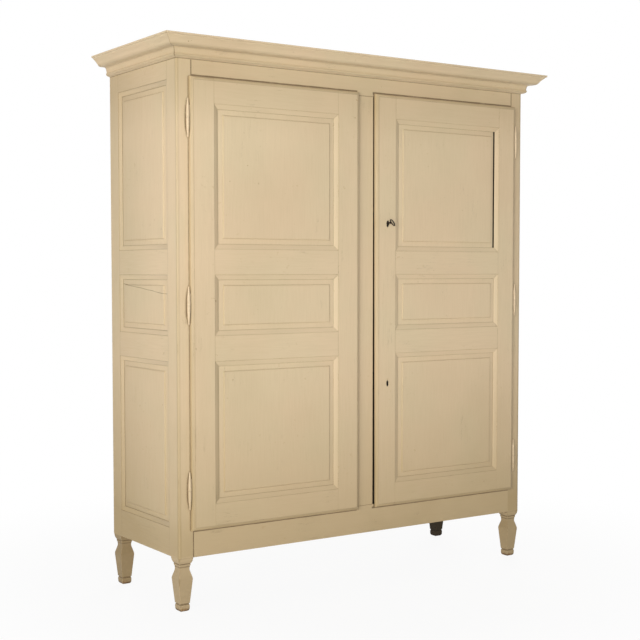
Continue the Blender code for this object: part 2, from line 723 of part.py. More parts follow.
def door_half_profile(height):
    """The upper half with its bore, from its tip down to the roof of the bore."""
    bore = HINGE_PIN_RADIUS + HINGE_PIN_GAP
    roof = HINGE_PIN_LENGTH + HINGE_PIN_GAP
    points = spindle_points(1)[::-1][:-1] + [(HINGE_RADIUS, 0), (bore, 0), (bore, roof), (0, roof)]
    return [(radius, height + z) for radius, z in points]


def turned(name, profile, side):
    """A profile of radius and height, turned about the hinge axis through the object's origin."""
    mesh = bmesh.new()
    verts = [mesh.verts.new((radius, 0, z)) for radius, z in profile]
    for first, second in zip(verts, verts[1:]):
        mesh.edges.new((first, second))
    data = bpy.data.meshes.new(name)
    mesh.to_mesh(data)
    mesh.free()
    thing = bpy.data.objects.new(name, data)
    wardrobe.objects.link(thing)
    thing.location = (side * HINGE_AXIS_X, HINGE_AXIS_Y, 0)
    screw = thing.modifiers.new("turn", "SCREW")
    screw.steps = 12
    screw.render_steps = 12
    screw.use_merge_vertices = True
    screw.merge_threshold = MERGE_DISTANCE
    screw.use_smooth_shade = True
    return thing


def leaf_heights(height, up):
    half = HINGE_LENGTH / 2
    low, high = HINGE_LEAF_SHARES
    return span(height + up * half * low, height + up * half * high)


def frame_leaf(side, height, margin):
    """The leaf let into the post's face behind a lower half."""
    axis_x = side * HINGE_AXIS_X
    across = grown((axis_x - HINGE_LEAF_THICKNESS / 2, axis_x + HINGE_LEAF_THICKNESS / 2), margin)
    depth = (HINGE_AXIS_Y, FRONT_Y + HINGE_LEAF_REACH + margin)
    return across, depth, grown(leaf_heights(height, -1), margin)


def door_leaf(side, height, margin):
    """The leaf let into the door's edge beside an upper half."""
    axis_x = side * HINGE_AXIS_X
    start = axis_x - side * (HINGE_PIN_RADIUS + HINGE_PIN_GAP + HINGE_LEAF_THICKNESS / 2)
    stop = door_edges(side)[0] - side * (HINGE_LEAF_REACH + margin)
    half = HINGE_LEAF_THICKNESS / 2 + margin
    thick = (HINGE_AXIS_Y - half, HINGE_AXIS_Y + half)
    return span(start, stop), thick, grown(leaf_heights(height, 1), margin)


def build_hinges(side, frame, stile):
    """Three hinges: each half is a turned knuckle joined to its leaf. Returns the door's halves."""
    door_halves = []
    for level, height in HINGE_HEIGHTS.items():
        name = f"{SIDE_NAMES[side]}_{level}_hinge"
        frame_half = turned(f"{name}_frame_half", frame_half_profile(height), side)
        carve(frame_half, block_cutter(f"{name}_frame_leaf", frame_leaf(side, height, 0)), "UNION")
        carve(frame, block_cutter(f"{name}_frame_slot", frame_leaf(side, height, FIT_GAP)))
        door_half = turned(f"{name}_door_half", door_half_profile(height), side)
        carve(door_half, block_cutter(f"{name}_door_leaf", door_leaf(side, height, 0)), "UNION")
        carve(stile, block_cutter(f"{name}_door_slot", door_leaf(side, height, FIT_GAP)))
        door_halves.append(door_half)
    return door_halves


# Locks, their bolts and the key

KEYHOLE_X = CENTRE_POST_WIDTH / 2 - LIP + KEYHOLE_INSET
UPPER_KEYHOLE_Z = UPPER_BOTTOM + UPPER_KEYHOLE_RISE
LOWER_KEYHOLE_Z = LOWER_TOP - LOWER_KEYHOLE_DROP
CASE_FRONT = DOOR_BACK_Y + FIT_GAP
CHAMBER_Y = (CASE_FRONT + LOCK_WALL, CASE_FRONT + LOCK_WALL + BIT_CHAMBER_DEPTH)
LOCK_BOLT_Y = (CHAMBER_Y[1] + RUNNING_GAP, CHAMBER_Y[1] + RUNNING_GAP + LOCK_BOLT_THICKNESS)
CASE_X = (
    CENTRE_POST_WIDTH / 2 + 2 * DOOR_SIDE_GAP, CENTRE_POST_WIDTH / 2 + 2 * DOOR_SIDE_GAP + LOCK_CASE_WIDTH,
)
LOCK_BOLT_X = (CASE_X[0], CASE_X[0] + LOCK_BOLT_LENGTH)
LOCK_BOLT_WITHDRAWAL = KEY_TURN / math.pi * LOCK_BOLT_THROW


def lock_bolt_heights(keyhole_height):
    return keyhole_height + LOCK_BOLT_RISE, keyhole_height + LOCK_BOLT_RISE + LOCK_BOLT_HEIGHT


def build_lock(level, keyhole_height, stile):
    """One lock: a case on the door's back, a bolt that slides in it, and the keyhole through the stile."""
    case_z = (keyhole_height - LOCK_CASE_DROP, keyhole_height - LOCK_CASE_DROP + LOCK_CASE_HEIGHT)
    case = lofted(
        f"{level}_lock_case", Z_AXIS, block(CASE_X, (CASE_FRONT, CASE_FRONT + LOCK_CASE_DEPTH), case_z),
    )
    bolt_z = lock_bolt_heights(keyhole_height)
    bolt = lofted(f"{level}_lock_bolt", Z_AXIS, block(LOCK_BOLT_X, LOCK_BOLT_Y, bolt_z))
    channel = (
        (LOCK_BOLT_X[0] - LOCK_BOLT_THROW, LOCK_BOLT_X[1] + LOCK_BOLT_WITHDRAWAL + RUNNING_GAP),
        (CHAMBER_Y[1] - CUT_OVERRUN, LOCK_BOLT_Y[1] + RUNNING_GAP), grown(bolt_z, RUNNING_GAP),
    )
    carve(case, block_cutter(f"{level}_bolt_channel", channel))
    chamber = bmesh.new()
    middle = (KEYHOLE_X, sum(CHAMBER_Y) / 2, keyhole_height)
    cylinder(chamber, BIT_CHAMBER_RADIUS, BIT_CHAMBER_DEPTH, Y_AXIS, middle)
    carve(case, cutter(mesh_object(f"{level}_bit_chamber", chamber, cutters)))
    hole_y = (DOOR_FACE_Y - CUT_OVERRUN, CHAMBER_Y[1] - RUNNING_GAP)
    half_slot = KEYHOLE_SLOT_WIDTH / 2
    slot = block_cutter(f"{level}_keyhole_slot", (
        (KEYHOLE_X - half_slot, KEYHOLE_X + half_slot), hole_y,
        (keyhole_height - KEYHOLE_SLOT_LENGTH, keyhole_height),
    ))
    bore = bmesh.new()
    bore_middle = (KEYHOLE_X, sum(hole_y) / 2, keyhole_height)
    cylinder(bore, KEYHOLE_RADIUS, hole_y[1] - hole_y[0] + RUNNING_GAP, Y_AXIS, bore_middle, 12)
    bore_tool = cutter(mesh_object(f"{level}_keyhole_bore", bore, cutters))
    for wood_or_iron in (stile, case):
        carve(wood_or_iron, slot)
        carve(wood_or_iron, bore_tool)
    return case, bolt


def bolt_mortises():
    """Mortises in the centre post that the lock bolts shoot into."""
    blocks = []
    for keyhole_height in (UPPER_KEYHOLE_Z, LOWER_KEYHOLE_Z):
        bolt_z = lock_bolt_heights(keyhole_height)
        blocks.append((
            (LOCK_BOLT_X[0] - LOCK_BOLT_THROW - BOLT_MORTISE_MARGIN, CENTRE_POST_X[1] + CUT_OVERRUN),
            grown(LOCK_BOLT_Y, BOLT_MORTISE_MARGIN), grown(bolt_z, BOLT_MORTISE_MARGIN),
        ))
    return block_cutter("lock_bolt_mortises", *blocks)


def build_key():
    """The key, made upright along Y with its bit down, then turned to where it was left."""
    bow = bpy.data.curves.new("key_bow", "CURVE")
    bow.dimensions = "3D"
    bow.bevel_depth = KEY_BOW_BAR / 2
    bow.bevel_resolution = 2
    oval = bow.splines.new("POLY")
    turns = 20
    oval.points.add(turns - 1)
    half_length = (KEY_BOW_LENGTH - KEY_BOW_BAR) / 2
    half_width = (KEY_BOW_WIDTH - KEY_BOW_BAR) / 2
    for index, point in enumerate(oval.points):
        angle = 2 * math.pi * index / turns
        point.co = (0, -KEY_BOW_CENTRE + half_width * math.sin(angle), half_length * math.cos(angle), 1)
    oval.use_cyclic_u = True
    key = mesh_object("key", curve_mesh("key_bow", bow), wardrobe)
    shank_start = half_width - KEY_BOW_CENTRE
    shank_stop = CHAMBER_Y[1] - DOOR_FACE_Y - KEY_TIP
    shank = bmesh.new()
    middle = (0, (shank_start + shank_stop) / 2, 0)
    cylinder(shank, KEY_SHANK_RADIUS, shank_stop - shank_start, Y_AXIS, middle, 12)
    shank_tool = cutter(mesh_object("key_shank", shank, cutters))
    collar = bmesh.new()
    collar_middle = (0, shank_start + 2 * KEY_COLLAR_LENGTH, 0)
    cylinder(collar, KEY_COLLAR_RADIUS, KEY_COLLAR_LENGTH, Y_AXIS, collar_middle, 12)
    collar_tool = cutter(mesh_object("key_collar", collar, cutters))
    bit_start = CHAMBER_Y[0] - DOOR_FACE_Y + RUNNING_GAP
    half_bit = KEY_BIT_THICKNESS / 2
    bit_tool = block_cutter("key_bit", (
        (-half_bit, half_bit), (bit_start, shank_stop - KEY_TIP), (-KEY_BIT_REACH, 0),
    ))
    for tool in (shank_tool, collar_tool, bit_tool):
        place_on_key_axis(tool)
        carve(key, tool, "UNION")
    place_on_key_axis(key)
    return key


def place_on_key_axis(thing):
    thing.location = (KEYHOLE_X, DOOR_FACE_Y, UPPER_KEYHOLE_Z)
    thing.rotation_euler = (0, -KEY_TURN, 0)


# Sliding bolt on the left door

SLIDE_BOLT_X = -(CENTRE_POST_WIDTH / 2 - LIP + SLIDE_BOLT_INSET)
GUIDE_BACK_Y = DOOR_BACK_Y + FIT_GAP
SLIDE_BOLT_START_Y = GUIDE_BACK_Y + GUIDE_PLATE_THICKNESS + RUNNING_GAP
SLIDE_BOLT_Y = (SLIDE_BOLT_START_Y, SLIDE_BOLT_START_Y + SLIDE_BOLT_THICKNESS)
SLIDE_BOLT_TIP = DOORWAY_TOP - SLIDE_BOLT_REST_GAP


def build_slide_bolt(top_rail):
    """A flat bolt with a knob, its guide plate with two straps, and its mortise in the top rail."""
    bolt_x = (SLIDE_BOLT_X - SLIDE_BOLT_WIDTH / 2, SLIDE_BOLT_X + SLIDE_BOLT_WIDTH / 2)
    bolt_z = (SLIDE_BOLT_TIP - SLIDE_BOLT_LENGTH, SLIDE_BOLT_TIP)
    bolt = lofted("left_door_bolt", Z_AXIS, block(bolt_x, SLIDE_BOLT_Y, bolt_z))
    plate_top = SLIDE_BOLT_TIP - GUIDE_PLATE_SETBACK
    plate_z = (plate_top - GUIDE_PLATE_LENGTH, plate_top)
    plate_x = (SLIDE_BOLT_X - GUIDE_PLATE_WIDTH / 2, SLIDE_BOLT_X + GUIDE_PLATE_WIDTH / 2)
    channel_back = SLIDE_BOLT_Y[1] + RUNNING_GAP
    strap_y = (GUIDE_BACK_Y, channel_back + GUIDE_STRAP_WALL)
    guide = lofted("left_door_bolt_guide", Z_AXIS, block(plate_x, strap_y, plate_z))
    plate_face = GUIDE_BACK_Y + GUIDE_PLATE_THICKNESS
    carve(guide, block_cutter("bolt_guide_channel", (
        grown(bolt_x, RUNNING_GAP), (plate_face, channel_back), grown(plate_z, CUT_OVERRUN),
    )))
    carve(guide, block_cutter("bolt_guide_between_straps", (
        grown(plate_x, CUT_OVERRUN), (plate_face, strap_y[1] + CUT_OVERRUN),
        grown(plate_z, -GUIDE_STRAP_LENGTH),
    )))
    knob = bmesh.new()
    knob_start = (SLIDE_BOLT_Y[0] + SLIDE_BOLT_Y[1]) / 2
    knob_stop = SLIDE_BOLT_Y[1] + KNOB_LENGTH
    knob_middle = (SLIDE_BOLT_X, (knob_start + knob_stop) / 2, (plate_z[0] + plate_z[1]) / 2)
    cylinder(knob, KNOB_RADIUS, knob_stop - knob_start, Y_AXIS, knob_middle, 12)
    carve(bolt, cutter(mesh_object("bolt_knob", knob, cutters)), "UNION")
    carve(top_rail, block_cutter("slide_bolt_mortise", (
        grown(bolt_x, BOLT_MORTISE_MARGIN), grown(SLIDE_BOLT_Y, BOLT_MORTISE_MARGIN),
        (DOORWAY_TOP - CUT_OVERRUN, DOORWAY_TOP + SLIDE_BOLT_THROW + BOLT_MORTISE_MARGIN),
    )))
    return bolt, guide


# Boards

def jointed_panel(name, spans, board_axis, thick_axis, count):
    """A panel of boards glued edge to edge, whose joints show as shallow lines on both faces."""
    panel = lofted(name, Z_AXIS, block(*spans))
    start, stop = spans[board_axis]
    half = BOARD_JOINT_WIDTH / 2
    lines = []
    for index in range(1, count):
        place = start + (stop - start) * index / count
        for face, outward in zip(spans[thick_axis], (-1, 1)):
            line = [grown(a_span, CUT_OVERRUN) for a_span in spans]
            line[board_axis] = (place - half, place + half)
            line[thick_axis] = span(face + outward * CUT_OVERRUN, face - outward * BOARD_JOINT_DEPTH)
            lines.append(line)
    carve(panel, block_cutter(f"{name}_joint_lines", *lines))
    return panel


def build_back(side_frames):
    """Upright boards in rebates of the rear posts, over the backs of the rear rails."""
    inner = BODY_WIDTH / 2 - POST_WIDTH + BACK_REBATE
    back_x = (FIT_GAP - inner, inner - FIT_GAP)
    back_z = (FOOT_HEIGHT + FIT_GAP, CARCASS_TOP)
    spans = (back_x, (BACK_PANEL_FRONT, BACK_Y), back_z)
    jointed_panel("back_panel", spans, X_AXIS, Y_AXIS, BACK_BOARD_COUNT)
    rebate = block_cutter("back_panel_rebate", (
        (-inner, inner), (BACK_PANEL_FRONT - FIT_GAP, BACK_Y + CUT_OVERRUN),
        (FOOT_HEIGHT, CARCASS_TOP + CUT_OVERRUN),
    ))
    for frame in side_frames:
        carve(frame, rebate)


def build_floor(bottom_rails):
    """Boards from front to back, lying in rebates of the two bottom rails and notched round the posts."""
    top = DOORWAY_BOTTOM - FLOOR_DROP
    floor_z = (top - FLOOR_THICKNESS, top)
    front_end = FRONT_RAIL_Y[1] - FLOOR_REBATE
    back_end = REAR_RAIL_Y[0] + FLOOR_REBATE
    inner = BODY_WIDTH / 2 - SIDE_THICKNESS - FIT_GAP
    floor_y = (front_end + FIT_GAP, back_end - FIT_GAP)
    spans = ((-inner, inner), floor_y, floor_z)
    floor = jointed_panel("floor_panel", spans, X_AXIS, Z_AXIS, FLOOR_BOARD_COUNT)
    around_posts = []
    for side in (LEFT, RIGHT):
        post_x = mirrored(side, BODY_WIDTH / 2 + CUT_OVERRUN, BODY_WIDTH / 2 - POST_WIDTH - FIT_GAP)
        for post_y in ((FRONT_Y, FRONT_Y + POST_DEPTH + FIT_GAP), (BACK_Y - POST_DEPTH - FIT_GAP, BACK_Y)):
            around_posts.append((post_x, post_y, grown(floor_z, CUT_OVERRUN)))
    carve(floor, block_cutter("post_corners_in_floor", *around_posts))
    rebate_z = (floor_z[0] - FIT_GAP, DOORWAY_BOTTOM + CUT_OVERRUN)
    rebate_x = grown(FRAME_ENDS, FRAME_TENON_LENGTH)
    rebates = block_cutter(
        "floor_rebates",
        (rebate_x, (front_end, FRONT_RAIL_Y[1] + CUT_OVERRUN), rebate_z),
        (rebate_x, (REAR_RAIL_Y[0] - CUT_OVERRUN, back_end), rebate_z),
    )
    for rail in bottom_rails:
        carve(rail, rebates)


def build_top():
    """Boards from side to side on top of the frame, below the cornice's rim."""
    low = CARCASS_TOP + FIT_GAP
    spans = ((LEFT_X, RIGHT_X), (FRONT_Y, BACK_Y), (low, low + TOP_THICKNESS))
    jointed_panel("top_panel", spans, Y_AXIS, Z_AXIS, TOP_BOARD_COUNT)


# Hat shelf and hanging rail

SHELF_TOP = CARCASS_TOP - HAT_SPACE_HEIGHT
BEARER_TOP = SHELF_TOP - SHELF_THICKNESS - FIT_GAP
BEARER_OUTER = BODY_WIDTH / 2 - POST_WIDTH - FIT_GAP
BEARER_INNER = BEARER_OUTER - BEARER_THICKNESS
SHELF_Y = (FRONT_Y + SHELF_FRONT_SETBACK, BACK_PANEL_FRONT - FIT_GAP)
HANGING_RAIL_Z = BEARER_TOP - HANGING_RAIL_DROP
HANGING_RAIL_Y = (FRONT_RAIL_Y[1] + REAR_RAIL_Y[0]) / 2


def build_interior():
    """Two bearers against the posts, a shelf of boards on them, and a rail seated in their bores."""
    seat = BEARER_INNER + HANGING_RAIL_SEAT
    bores = bmesh.new()
    for side in (LEFT, RIGHT):
        bore_start = BEARER_INNER - CUT_OVERRUN
        middle = (side * (bore_start + seat) / 2, HANGING_RAIL_Y, HANGING_RAIL_Z)
        cylinder(bores, HANGING_RAIL_RADIUS + FIT_GAP, seat - bore_start, X_AXIS, middle)
    bore_tool = cutter(mesh_object("hanging_rail_bores", bores, cutters))
    for side in (LEFT, RIGHT):
        bearer_x = mirrored(side, BEARER_INNER, BEARER_OUTER)
        bearer_z = (BEARER_TOP - BEARER_HEIGHT, BEARER_TOP)
        bearer = lofted(f"{SIDE_NAMES[side]}_shelf_bearer", Z_AXIS, block(bearer_x, SHELF_Y, bearer_z))
        carve(bearer, bore_tool)
    spans = ((-BEARER_OUTER, BEARER_OUTER), SHELF_Y, (SHELF_TOP - SHELF_THICKNESS, SHELF_TOP))
    jointed_panel("hat_shelf", spans, Y_AXIS, Z_AXIS, SHELF_BOARD_COUNT)
    rail = bmesh.new()
    cylinder(rail, HANGING_RAIL_RADIUS, 2 * (seat - FIT_GAP), X_AXIS, (0, HANGING_RAIL_Y, HANGING_RAIL_Z))
    hanging_rail = mesh_object("hanging_rail", rail, wardrobe)
    hanging_rail.data.shade_smooth()
    hanging_rail.data.set_sharp_from_angle(angle=math.radians(40))


# Outlines and cornice

def outline_extruded(name, points, length):
    """A flat closed outline drawn as a curve and given an even length along Z, as a mesh."""
    curve = bpy.data.curves.new(name, "CURVE")
    curve.dimensions = "2D"
    curve.fill_mode = "BOTH"
    curve.extrude = length / 2
    outline = curve.splines.new("POLY")
    outline.points.add(len(points) - 1)
    for point, (x, y) in zip(outline.points, points):
        point.co = (x, y, 0, 1)
    outline.use_cyclic_u = True
    return curve_mesh(name, curve)


def curve_mesh(name, curve):
    shape = bpy.data.objects.new(name, curve)
    cutters.objects.link(shape)
    evaluated = shape.evaluated_get(bpy.context.evaluated_depsgraph_get())
    mesh = bmesh.new()
    mesh.from_mesh(bpy.data.meshes.new_from_object(evaluated))
    bmesh.ops.remove_doubles(mesh, verts=mesh.verts, dist=MERGE_DISTANCE)
    bpy.data.objects.remove(shape, do_unlink=True)
    return mesh


def cornice_outline():
    """Points (projection, height) of the section, from its inner foot round the mouldings to its top."""
    base = TOTAL_HEIGHT - CORNICE_HEIGHT
    points = [(FIT_GAP, base)]
    points += [(CORNICE_OVERHANG * out, base + CORNICE_HEIGHT * up) for out, up in CORNICE_OUTLINE_SHARES]
    return points + [(FIT_GAP, TOTAL_HEIGHT)]


def cornice_length(name, length):
    """A straight length of the section as a mesh: it projects along -Y and runs along X from the middle."""
    mesh = outline_extruded(name, cornice_outline(), length)
    lie_along_x = Matrix.Rotation(-math.pi / 2, 4, "Z") @ Matrix.Rotation(math.pi / 2, 4, "X")
    bmesh.ops.transform(mesh, matrix=lie_along_x, verts=mesh.verts)
    return mesh


def trim(mesh, point, outward):
    """Cut a mesh off at a plane and close the cut."""
    everything = mesh.verts[:] + mesh.edges[:] + mesh.faces[:]
    cut = bmesh.ops.bisect_plane(
        mesh, geom=everything, plane_co=point, plane_no=outward, clear_outer=True,
    )
    edges = [item for item in cut["geom_cut"] if isinstance(item, bmesh.types.BMEdge)]
    bmesh.ops.contextual_create(mesh, geom=edges)


def build_cornice():
    front = cornice_length("cornice_front", BODY_WIDTH + 3 * CORNICE_OVERHANG)
    bmesh.ops.translate(front, verts=front.verts, vec=(0, FRONT_Y, 0))
    for side in (LEFT, RIGHT):
        corner = (side * (BODY_WIDTH / 2 - FIT_GAP / 2), FRONT_Y, 0)
        trim(front, corner, (side, 1, 0))
    mesh_object("cornice_front", front, wardrobe)
    for side in (LEFT, RIGHT):
        length = cornice_length(f"cornice_{SIDE_NAMES[side]}", 2 * BODY_DEPTH + 3 * CORNICE_OVERHANG)
        turn = Matrix.Rotation(side * math.pi / 2, 4, "Z")
        place = Matrix.Translation((side * BODY_WIDTH / 2, BACK_Y, 0))
        bmesh.ops.transform(length, matrix=place @ turn, verts=length.verts)
        trim(length, (side * (BODY_WIDTH / 2 + FIT_GAP / 2), FRONT_Y, 0), (-side, -1, 0))
        trim(length, (0, BACK_Y, 0), (0, 1, 0))
        mesh_object(f"cornice_{SIDE_NAMES[side]}", length, wardrobe)


# Assembly

side_frames = {side: build_side_frame(side) for side in (LEFT, RIGHT)}
for side in (LEFT, RIGHT):
    for level, heights in SIDE_OPENINGS.items():
        name = f"{SIDE_NAMES[side]}_side_{level}_panel"
        fielded_panel(name, X_AXIS, side_face(side), -side, SIDE_FLAT, heights)

cross_rails = {name: cross_rail(name, *sizes) for name, sizes in CROSS_RAILS.items()}
post_mortises = cross_rail_mortises()
for frame in side_frames.values():
    carve(frame, post_mortises)
middle_post, middle_mortises = centre_post()
carve(middle_post, bolt_mortises())
carve(cross_rails["front_bottom_rail"], middle_mortises)
carve(cross_rails["front_top_rail"], middle_mortises)

doors = {side: build_door(side) for side in (LEFT, RIGHT)}
shrink_from_hinge_side(doors[RIGHT]["upper_panel"], RIGHT)
door_hinges = {
    side: build_hinges(side, side_frames[side], doors[side]["hinge_stile"]) for side in (LEFT, RIGHT)
}
upper_case, upper_bolt = build_lock("upper", UPPER_KEYHOLE_Z, doors[RIGHT]["meeting_stile"])
lower_case, lower_bolt = build_lock("lower", LOWER_KEYHOLE_Z, doors[RIGHT]["meeting_stile"])
key = build_key()
slide_bolt, bolt_guide = build_slide_bolt(cross_rails["front_top_rail"])

build_back(side_frames.values())
build_floor([cross_rails["front_bottom_rail"], cross_rails["rear_bottom_rail"]])
build_top()
build_interior()
build_cornice()


# Each door hangs on an empty that stands on its hinge axis

def hang(pieces, side):
    pivot = bpy.data.objects.new(f"{SIDE_NAMES[side]}_door_pivot", None)
    wardrobe.objects.link(pivot)
    pivot.location = (side * HINGE_AXIS_X, HINGE_AXIS_Y, 0)
    for piece in pieces:
        piece.location = piece.location - pivot.location
        piece.parent = pivot


hang([*doors[LEFT].values(), *door_hinges[LEFT], slide_bolt, bolt_guide], LEFT)
locks = [upper_case, lower_case, upper_bolt, lower_bolt, key]
hang([*doors[RIGHT].values(), *door_hinges[RIGHT], *locks], RIGHT)


# Finishes

def finish(thing, look):
    colour, roughness, metallic = look
    material = bpy.data.materials.new(thing.name)
    material.use_nodes = True
    shader = material.node_tree.nodes["Principled BSDF"]
    shader.inputs["Base Color"].default_value = (*colour, 1)
    shader.inputs["Roughness"].default_value = roughness
    shader.inputs["Metallic"].default_value = metallic
    thing.data.materials.clear()
    thing.data.materials.append(material)


BARE_WOOD_PIECES = ("back_panel", "floor_panel", "top_panel", "hat_shelf", "shelf_bearer", "hanging_rail")
IRON_PIECES = ("key", "lock_case", "lock_bolt", "door_bolt")
for thing in wardrobe.objects:
    if thing.type != "MESH":
        continue
    if any(word in thing.name for word in IRON_PIECES):
        finish(thing, DARK_IRON)
    elif any(word in thing.name for word in BARE_WOOD_PIECES):
        finish(thing, BARE_WOOD)
    else:
        finish(thing, AGED_PAINT)
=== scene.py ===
import math

import bmesh
import bpy
from mathutils import Matrix, Vector


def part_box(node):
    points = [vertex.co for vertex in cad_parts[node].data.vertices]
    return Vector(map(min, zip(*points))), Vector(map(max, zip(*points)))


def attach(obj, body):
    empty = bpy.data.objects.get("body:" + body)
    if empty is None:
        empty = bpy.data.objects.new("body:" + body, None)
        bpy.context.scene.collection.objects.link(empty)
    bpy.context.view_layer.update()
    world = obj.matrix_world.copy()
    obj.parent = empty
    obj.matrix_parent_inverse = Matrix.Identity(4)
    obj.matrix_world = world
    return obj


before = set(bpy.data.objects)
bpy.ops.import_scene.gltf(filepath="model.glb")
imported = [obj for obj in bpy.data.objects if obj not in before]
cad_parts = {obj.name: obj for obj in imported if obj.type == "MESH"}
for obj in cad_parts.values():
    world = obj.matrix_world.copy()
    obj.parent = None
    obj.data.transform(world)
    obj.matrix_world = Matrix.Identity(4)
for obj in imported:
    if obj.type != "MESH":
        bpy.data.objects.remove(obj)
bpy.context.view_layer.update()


# Camera
# The photograph is taken from the front left with a long lens, a little above half the height,
# so the left side is seen with both doors.

camera = bpy.data.objects.new("camera", bpy.data.cameras.new("camera"))
bpy.context.scene.collection.objects.link(camera)
camera.location = (-2.822, -4.038, 1.198)
camera.rotation_euler = (math.radians(86.853), math.radians(0.045), math.radians(-33.690))
camera.data.sensor_width = 36.0
camera.data.lens = 69.85
camera.data.shift_x = 0.02645
camera.data.shift_y = 0.0302
bpy.context.scene.camera = camera


# Side frames
# Two posts and four rails, tenoned and glued, with a square foot worked on the end of each post.
# Softwood under several coats of cream paint, darker towards the floor and the back with grime and
# painted shade, cracked at the joints and chipped on the toes. The inner faces were never painted.

PAINT_CREAM = (0.690, 0.540, 0.362, 1.0)
PAINT_GREENISH = (0.652, 0.540, 0.358, 1.0)
# Grimy paint, also laid as painted shade towards the floor, the back and below the cornice.
PAINT_GRIMY_AND_SHADED = (0.390, 0.292, 0.158, 1.0)
# Darker paint on the arrises: painted shade that dims their highlights, with the grime of handling.
PAINT_RUBBED_AND_SHADED = (0.470, 0.355, 0.205, 1.0)
# Lighter paint for faces that look down: painted light where shade falls.
PAINT_LIT_SOFFIT = (0.880, 0.740, 0.535, 1.0)
UNDERCOAT = (0.400, 0.270, 0.130, 1.0)
# Dark brown for grime, and for painted shade in creases, seams and corners.
GRIME_AND_SHADE = (0.110, 0.068, 0.030, 1.0)
WOOD_UNDER = (0.215, 0.125, 0.060, 1.0)
WOOD_PALE = (0.430, 0.285, 0.150, 1.0)
WOOD_BROWN = (0.310, 0.190, 0.096, 1.0)
# Near black: painted shade in the gaps, keyholes and groove, and the dark wood of the rear right foot.
BLACK_SHADE_AND_WOOD = (0.008, 0.006, 0.004, 1.0)


class Finish:
    """One finish while it is laid on: its nodes, its places in metres, and the layers it is made of."""

    def __init__(self, name):
        self.material = bpy.data.materials.new(name)
        self.material.use_nodes = True
        self.tree = self.material.node_tree
        self.shader = self.tree.nodes["Principled BSDF"]
        where = self.tree.nodes.new("ShaderNodeTexCoord")
        self.place = where.outputs["Object"]
        axes = self.add("ShaderNodeSeparateXYZ", {0: self.place})
        self.x, self.y, self.z = axes.outputs
        faces = self.add("ShaderNodeSeparateXYZ", {0: where.outputs["Normal"]})
        self.facing_x, self.facing_y, self.facing_z = faces.outputs

    def add(self, kind, values, **settings):
        """Add one node; values that are sockets are joined to it."""
        node = self.tree.nodes.new(kind)
        for key, value in settings.items():
            setattr(node, key, value)
        for key, value in values.items():
            if isinstance(value, bpy.types.NodeSocket):
                self.tree.links.new(value, node.inputs[key])
            else:
                node.inputs[key].default_value = value
        return node

    def maths(self, operation, *values, clamp=False):
        node = self.add("ShaderNodeMath", dict(enumerate(values)), operation=operation, use_clamp=clamp)
        return node.outputs[0]

    def chain(self, operation, values):
        """Carry one operation through any number of values."""
        total = values[0]
        for value in values[1:]:
            total = self.maths(operation, total, value)
        return total

    def sum(self, *values):
        return self.chain("ADD", values)

    def less(self, value, taken):
        return self.maths("SUBTRACT", value, taken)

    def times(self, *values):
        return self.chain("MULTIPLY", values)

    def most(self, *values):
        return self.chain("MAXIMUM", values)

    def least(self, *values):
        return self.chain("MINIMUM", values)

    def vector(self, operation, *values):
        node = self.add("ShaderNodeVectorMath", dict(enumerate(values)), operation=operation)
        return node.outputs[0]

    def fade(self, value, start, end, low=0.0, high=1.0):
        """Run softly from low to high as the value goes from start to end."""
        values = {0: value, 1: start, 2: end, 3: low, 4: high}
        return self.add("ShaderNodeMapRange", values, interpolation_type="SMOOTHSTEP").outputs[0]

    def line(self, value, at, half_width):
        """A thin line where the value passes a place, strongest in its middle."""
        return self.fade(self.maths("ABSOLUTE", self.less(value, at)), 0.0, half_width, 1.0, 0.0)

    def within(self, value, low, high, soft=0.0005):
        """One between the two places, nothing outside them."""
        above = self.fade(value, low - soft, low + soft)
        below = self.fade(value, high - soft, high + soft, 1.0, 0.0)
        return self.times(above, below)

    def cloud(self, scale, detail=2.0, vector=None, rough=0.5, distortion=0.0):
        values = {"Vector": vector or self.place, "Scale": scale, "Detail": detail}
        values.update({"Roughness": rough, "Distortion": distortion})
        return self.add("ShaderNodeTexNoise", values).outputs[0]

    def wander(self, scale, reach, detail=3.0):
        """A small amount to either side of nothing, that keeps a line from running true."""
        return self.times(self.less(self.cloud(scale, detail), 0.5), reach)

    def mix(self, amount, below, above):
        """Lay one colour over another."""
        return self.add("ShaderNodeMix", {0: amount, 6: below, 7: above}, data_type="RGBA").outputs[2]

    def between(self, amount, first, second):
        return self.add("ShaderNodeMix", {0: amount, 4: first, 5: second}, data_type="VECTOR").outputs[1]

    def off_centre(self):
        """How far to either side of the wardrobe's middle the place is."""
        return self.maths("ABSOLUTE", self.x)

    def outer_edges(self, radius):
        """How near an edge the place is, by the turn between the face and its rounded normal."""
        rounded = self.add("ShaderNodeBevel", {0: radius}, samples=6).outputs[0]
        face = self.add("ShaderNodeNewGeometry", {}).outputs["Normal"]
        turn = self.add("ShaderNodeVectorMath", {0: rounded, 1: face}, operation="DOT_PRODUCT")
        return self.maths("SUBTRACT", 1.0, turn.outputs["Value"], clamp=True)

    def hollows(self, distance):
        """How deep in a corner or recess the place is."""
        open_sky = self.add("ShaderNodeAmbientOcclusion", {1: distance}, samples=10).outputs["AO"]
        return self.maths("SUBTRACT", 1.0, open_sky, clamp=True)

    def lay(self, colour, roughness, height, edge_radius, metallic=None):
        """Join the layers to the shader, with the edges softened and the height as relief in metres."""
        rounded = self.add("ShaderNodeBevel", {0: edge_radius}, samples=6).outputs[0]
        values = {"Strength": 1.0, "Distance": 1.0, "Height": height, "Normal": rounded}
        relief = self.add("ShaderNodeBump", values)
        self.tree.links.new(colour, self.shader.inputs["Base Color"])
        self.tree.links.new(roughness, self.shader.inputs["Roughness"])
        self.tree.links.new(relief.outputs[0], self.shader.inputs["Normal"])
        if metallic is not None:
            self.tree.links.new(metallic, self.shader.inputs["Metallic"])


STRETCH = {"x": (0.045, 1.0, 1.0), "y": (1.0, 0.045, 1.0), "z": (1.0, 1.0, 0.045)}
PORE_DEPTH = 0.00012


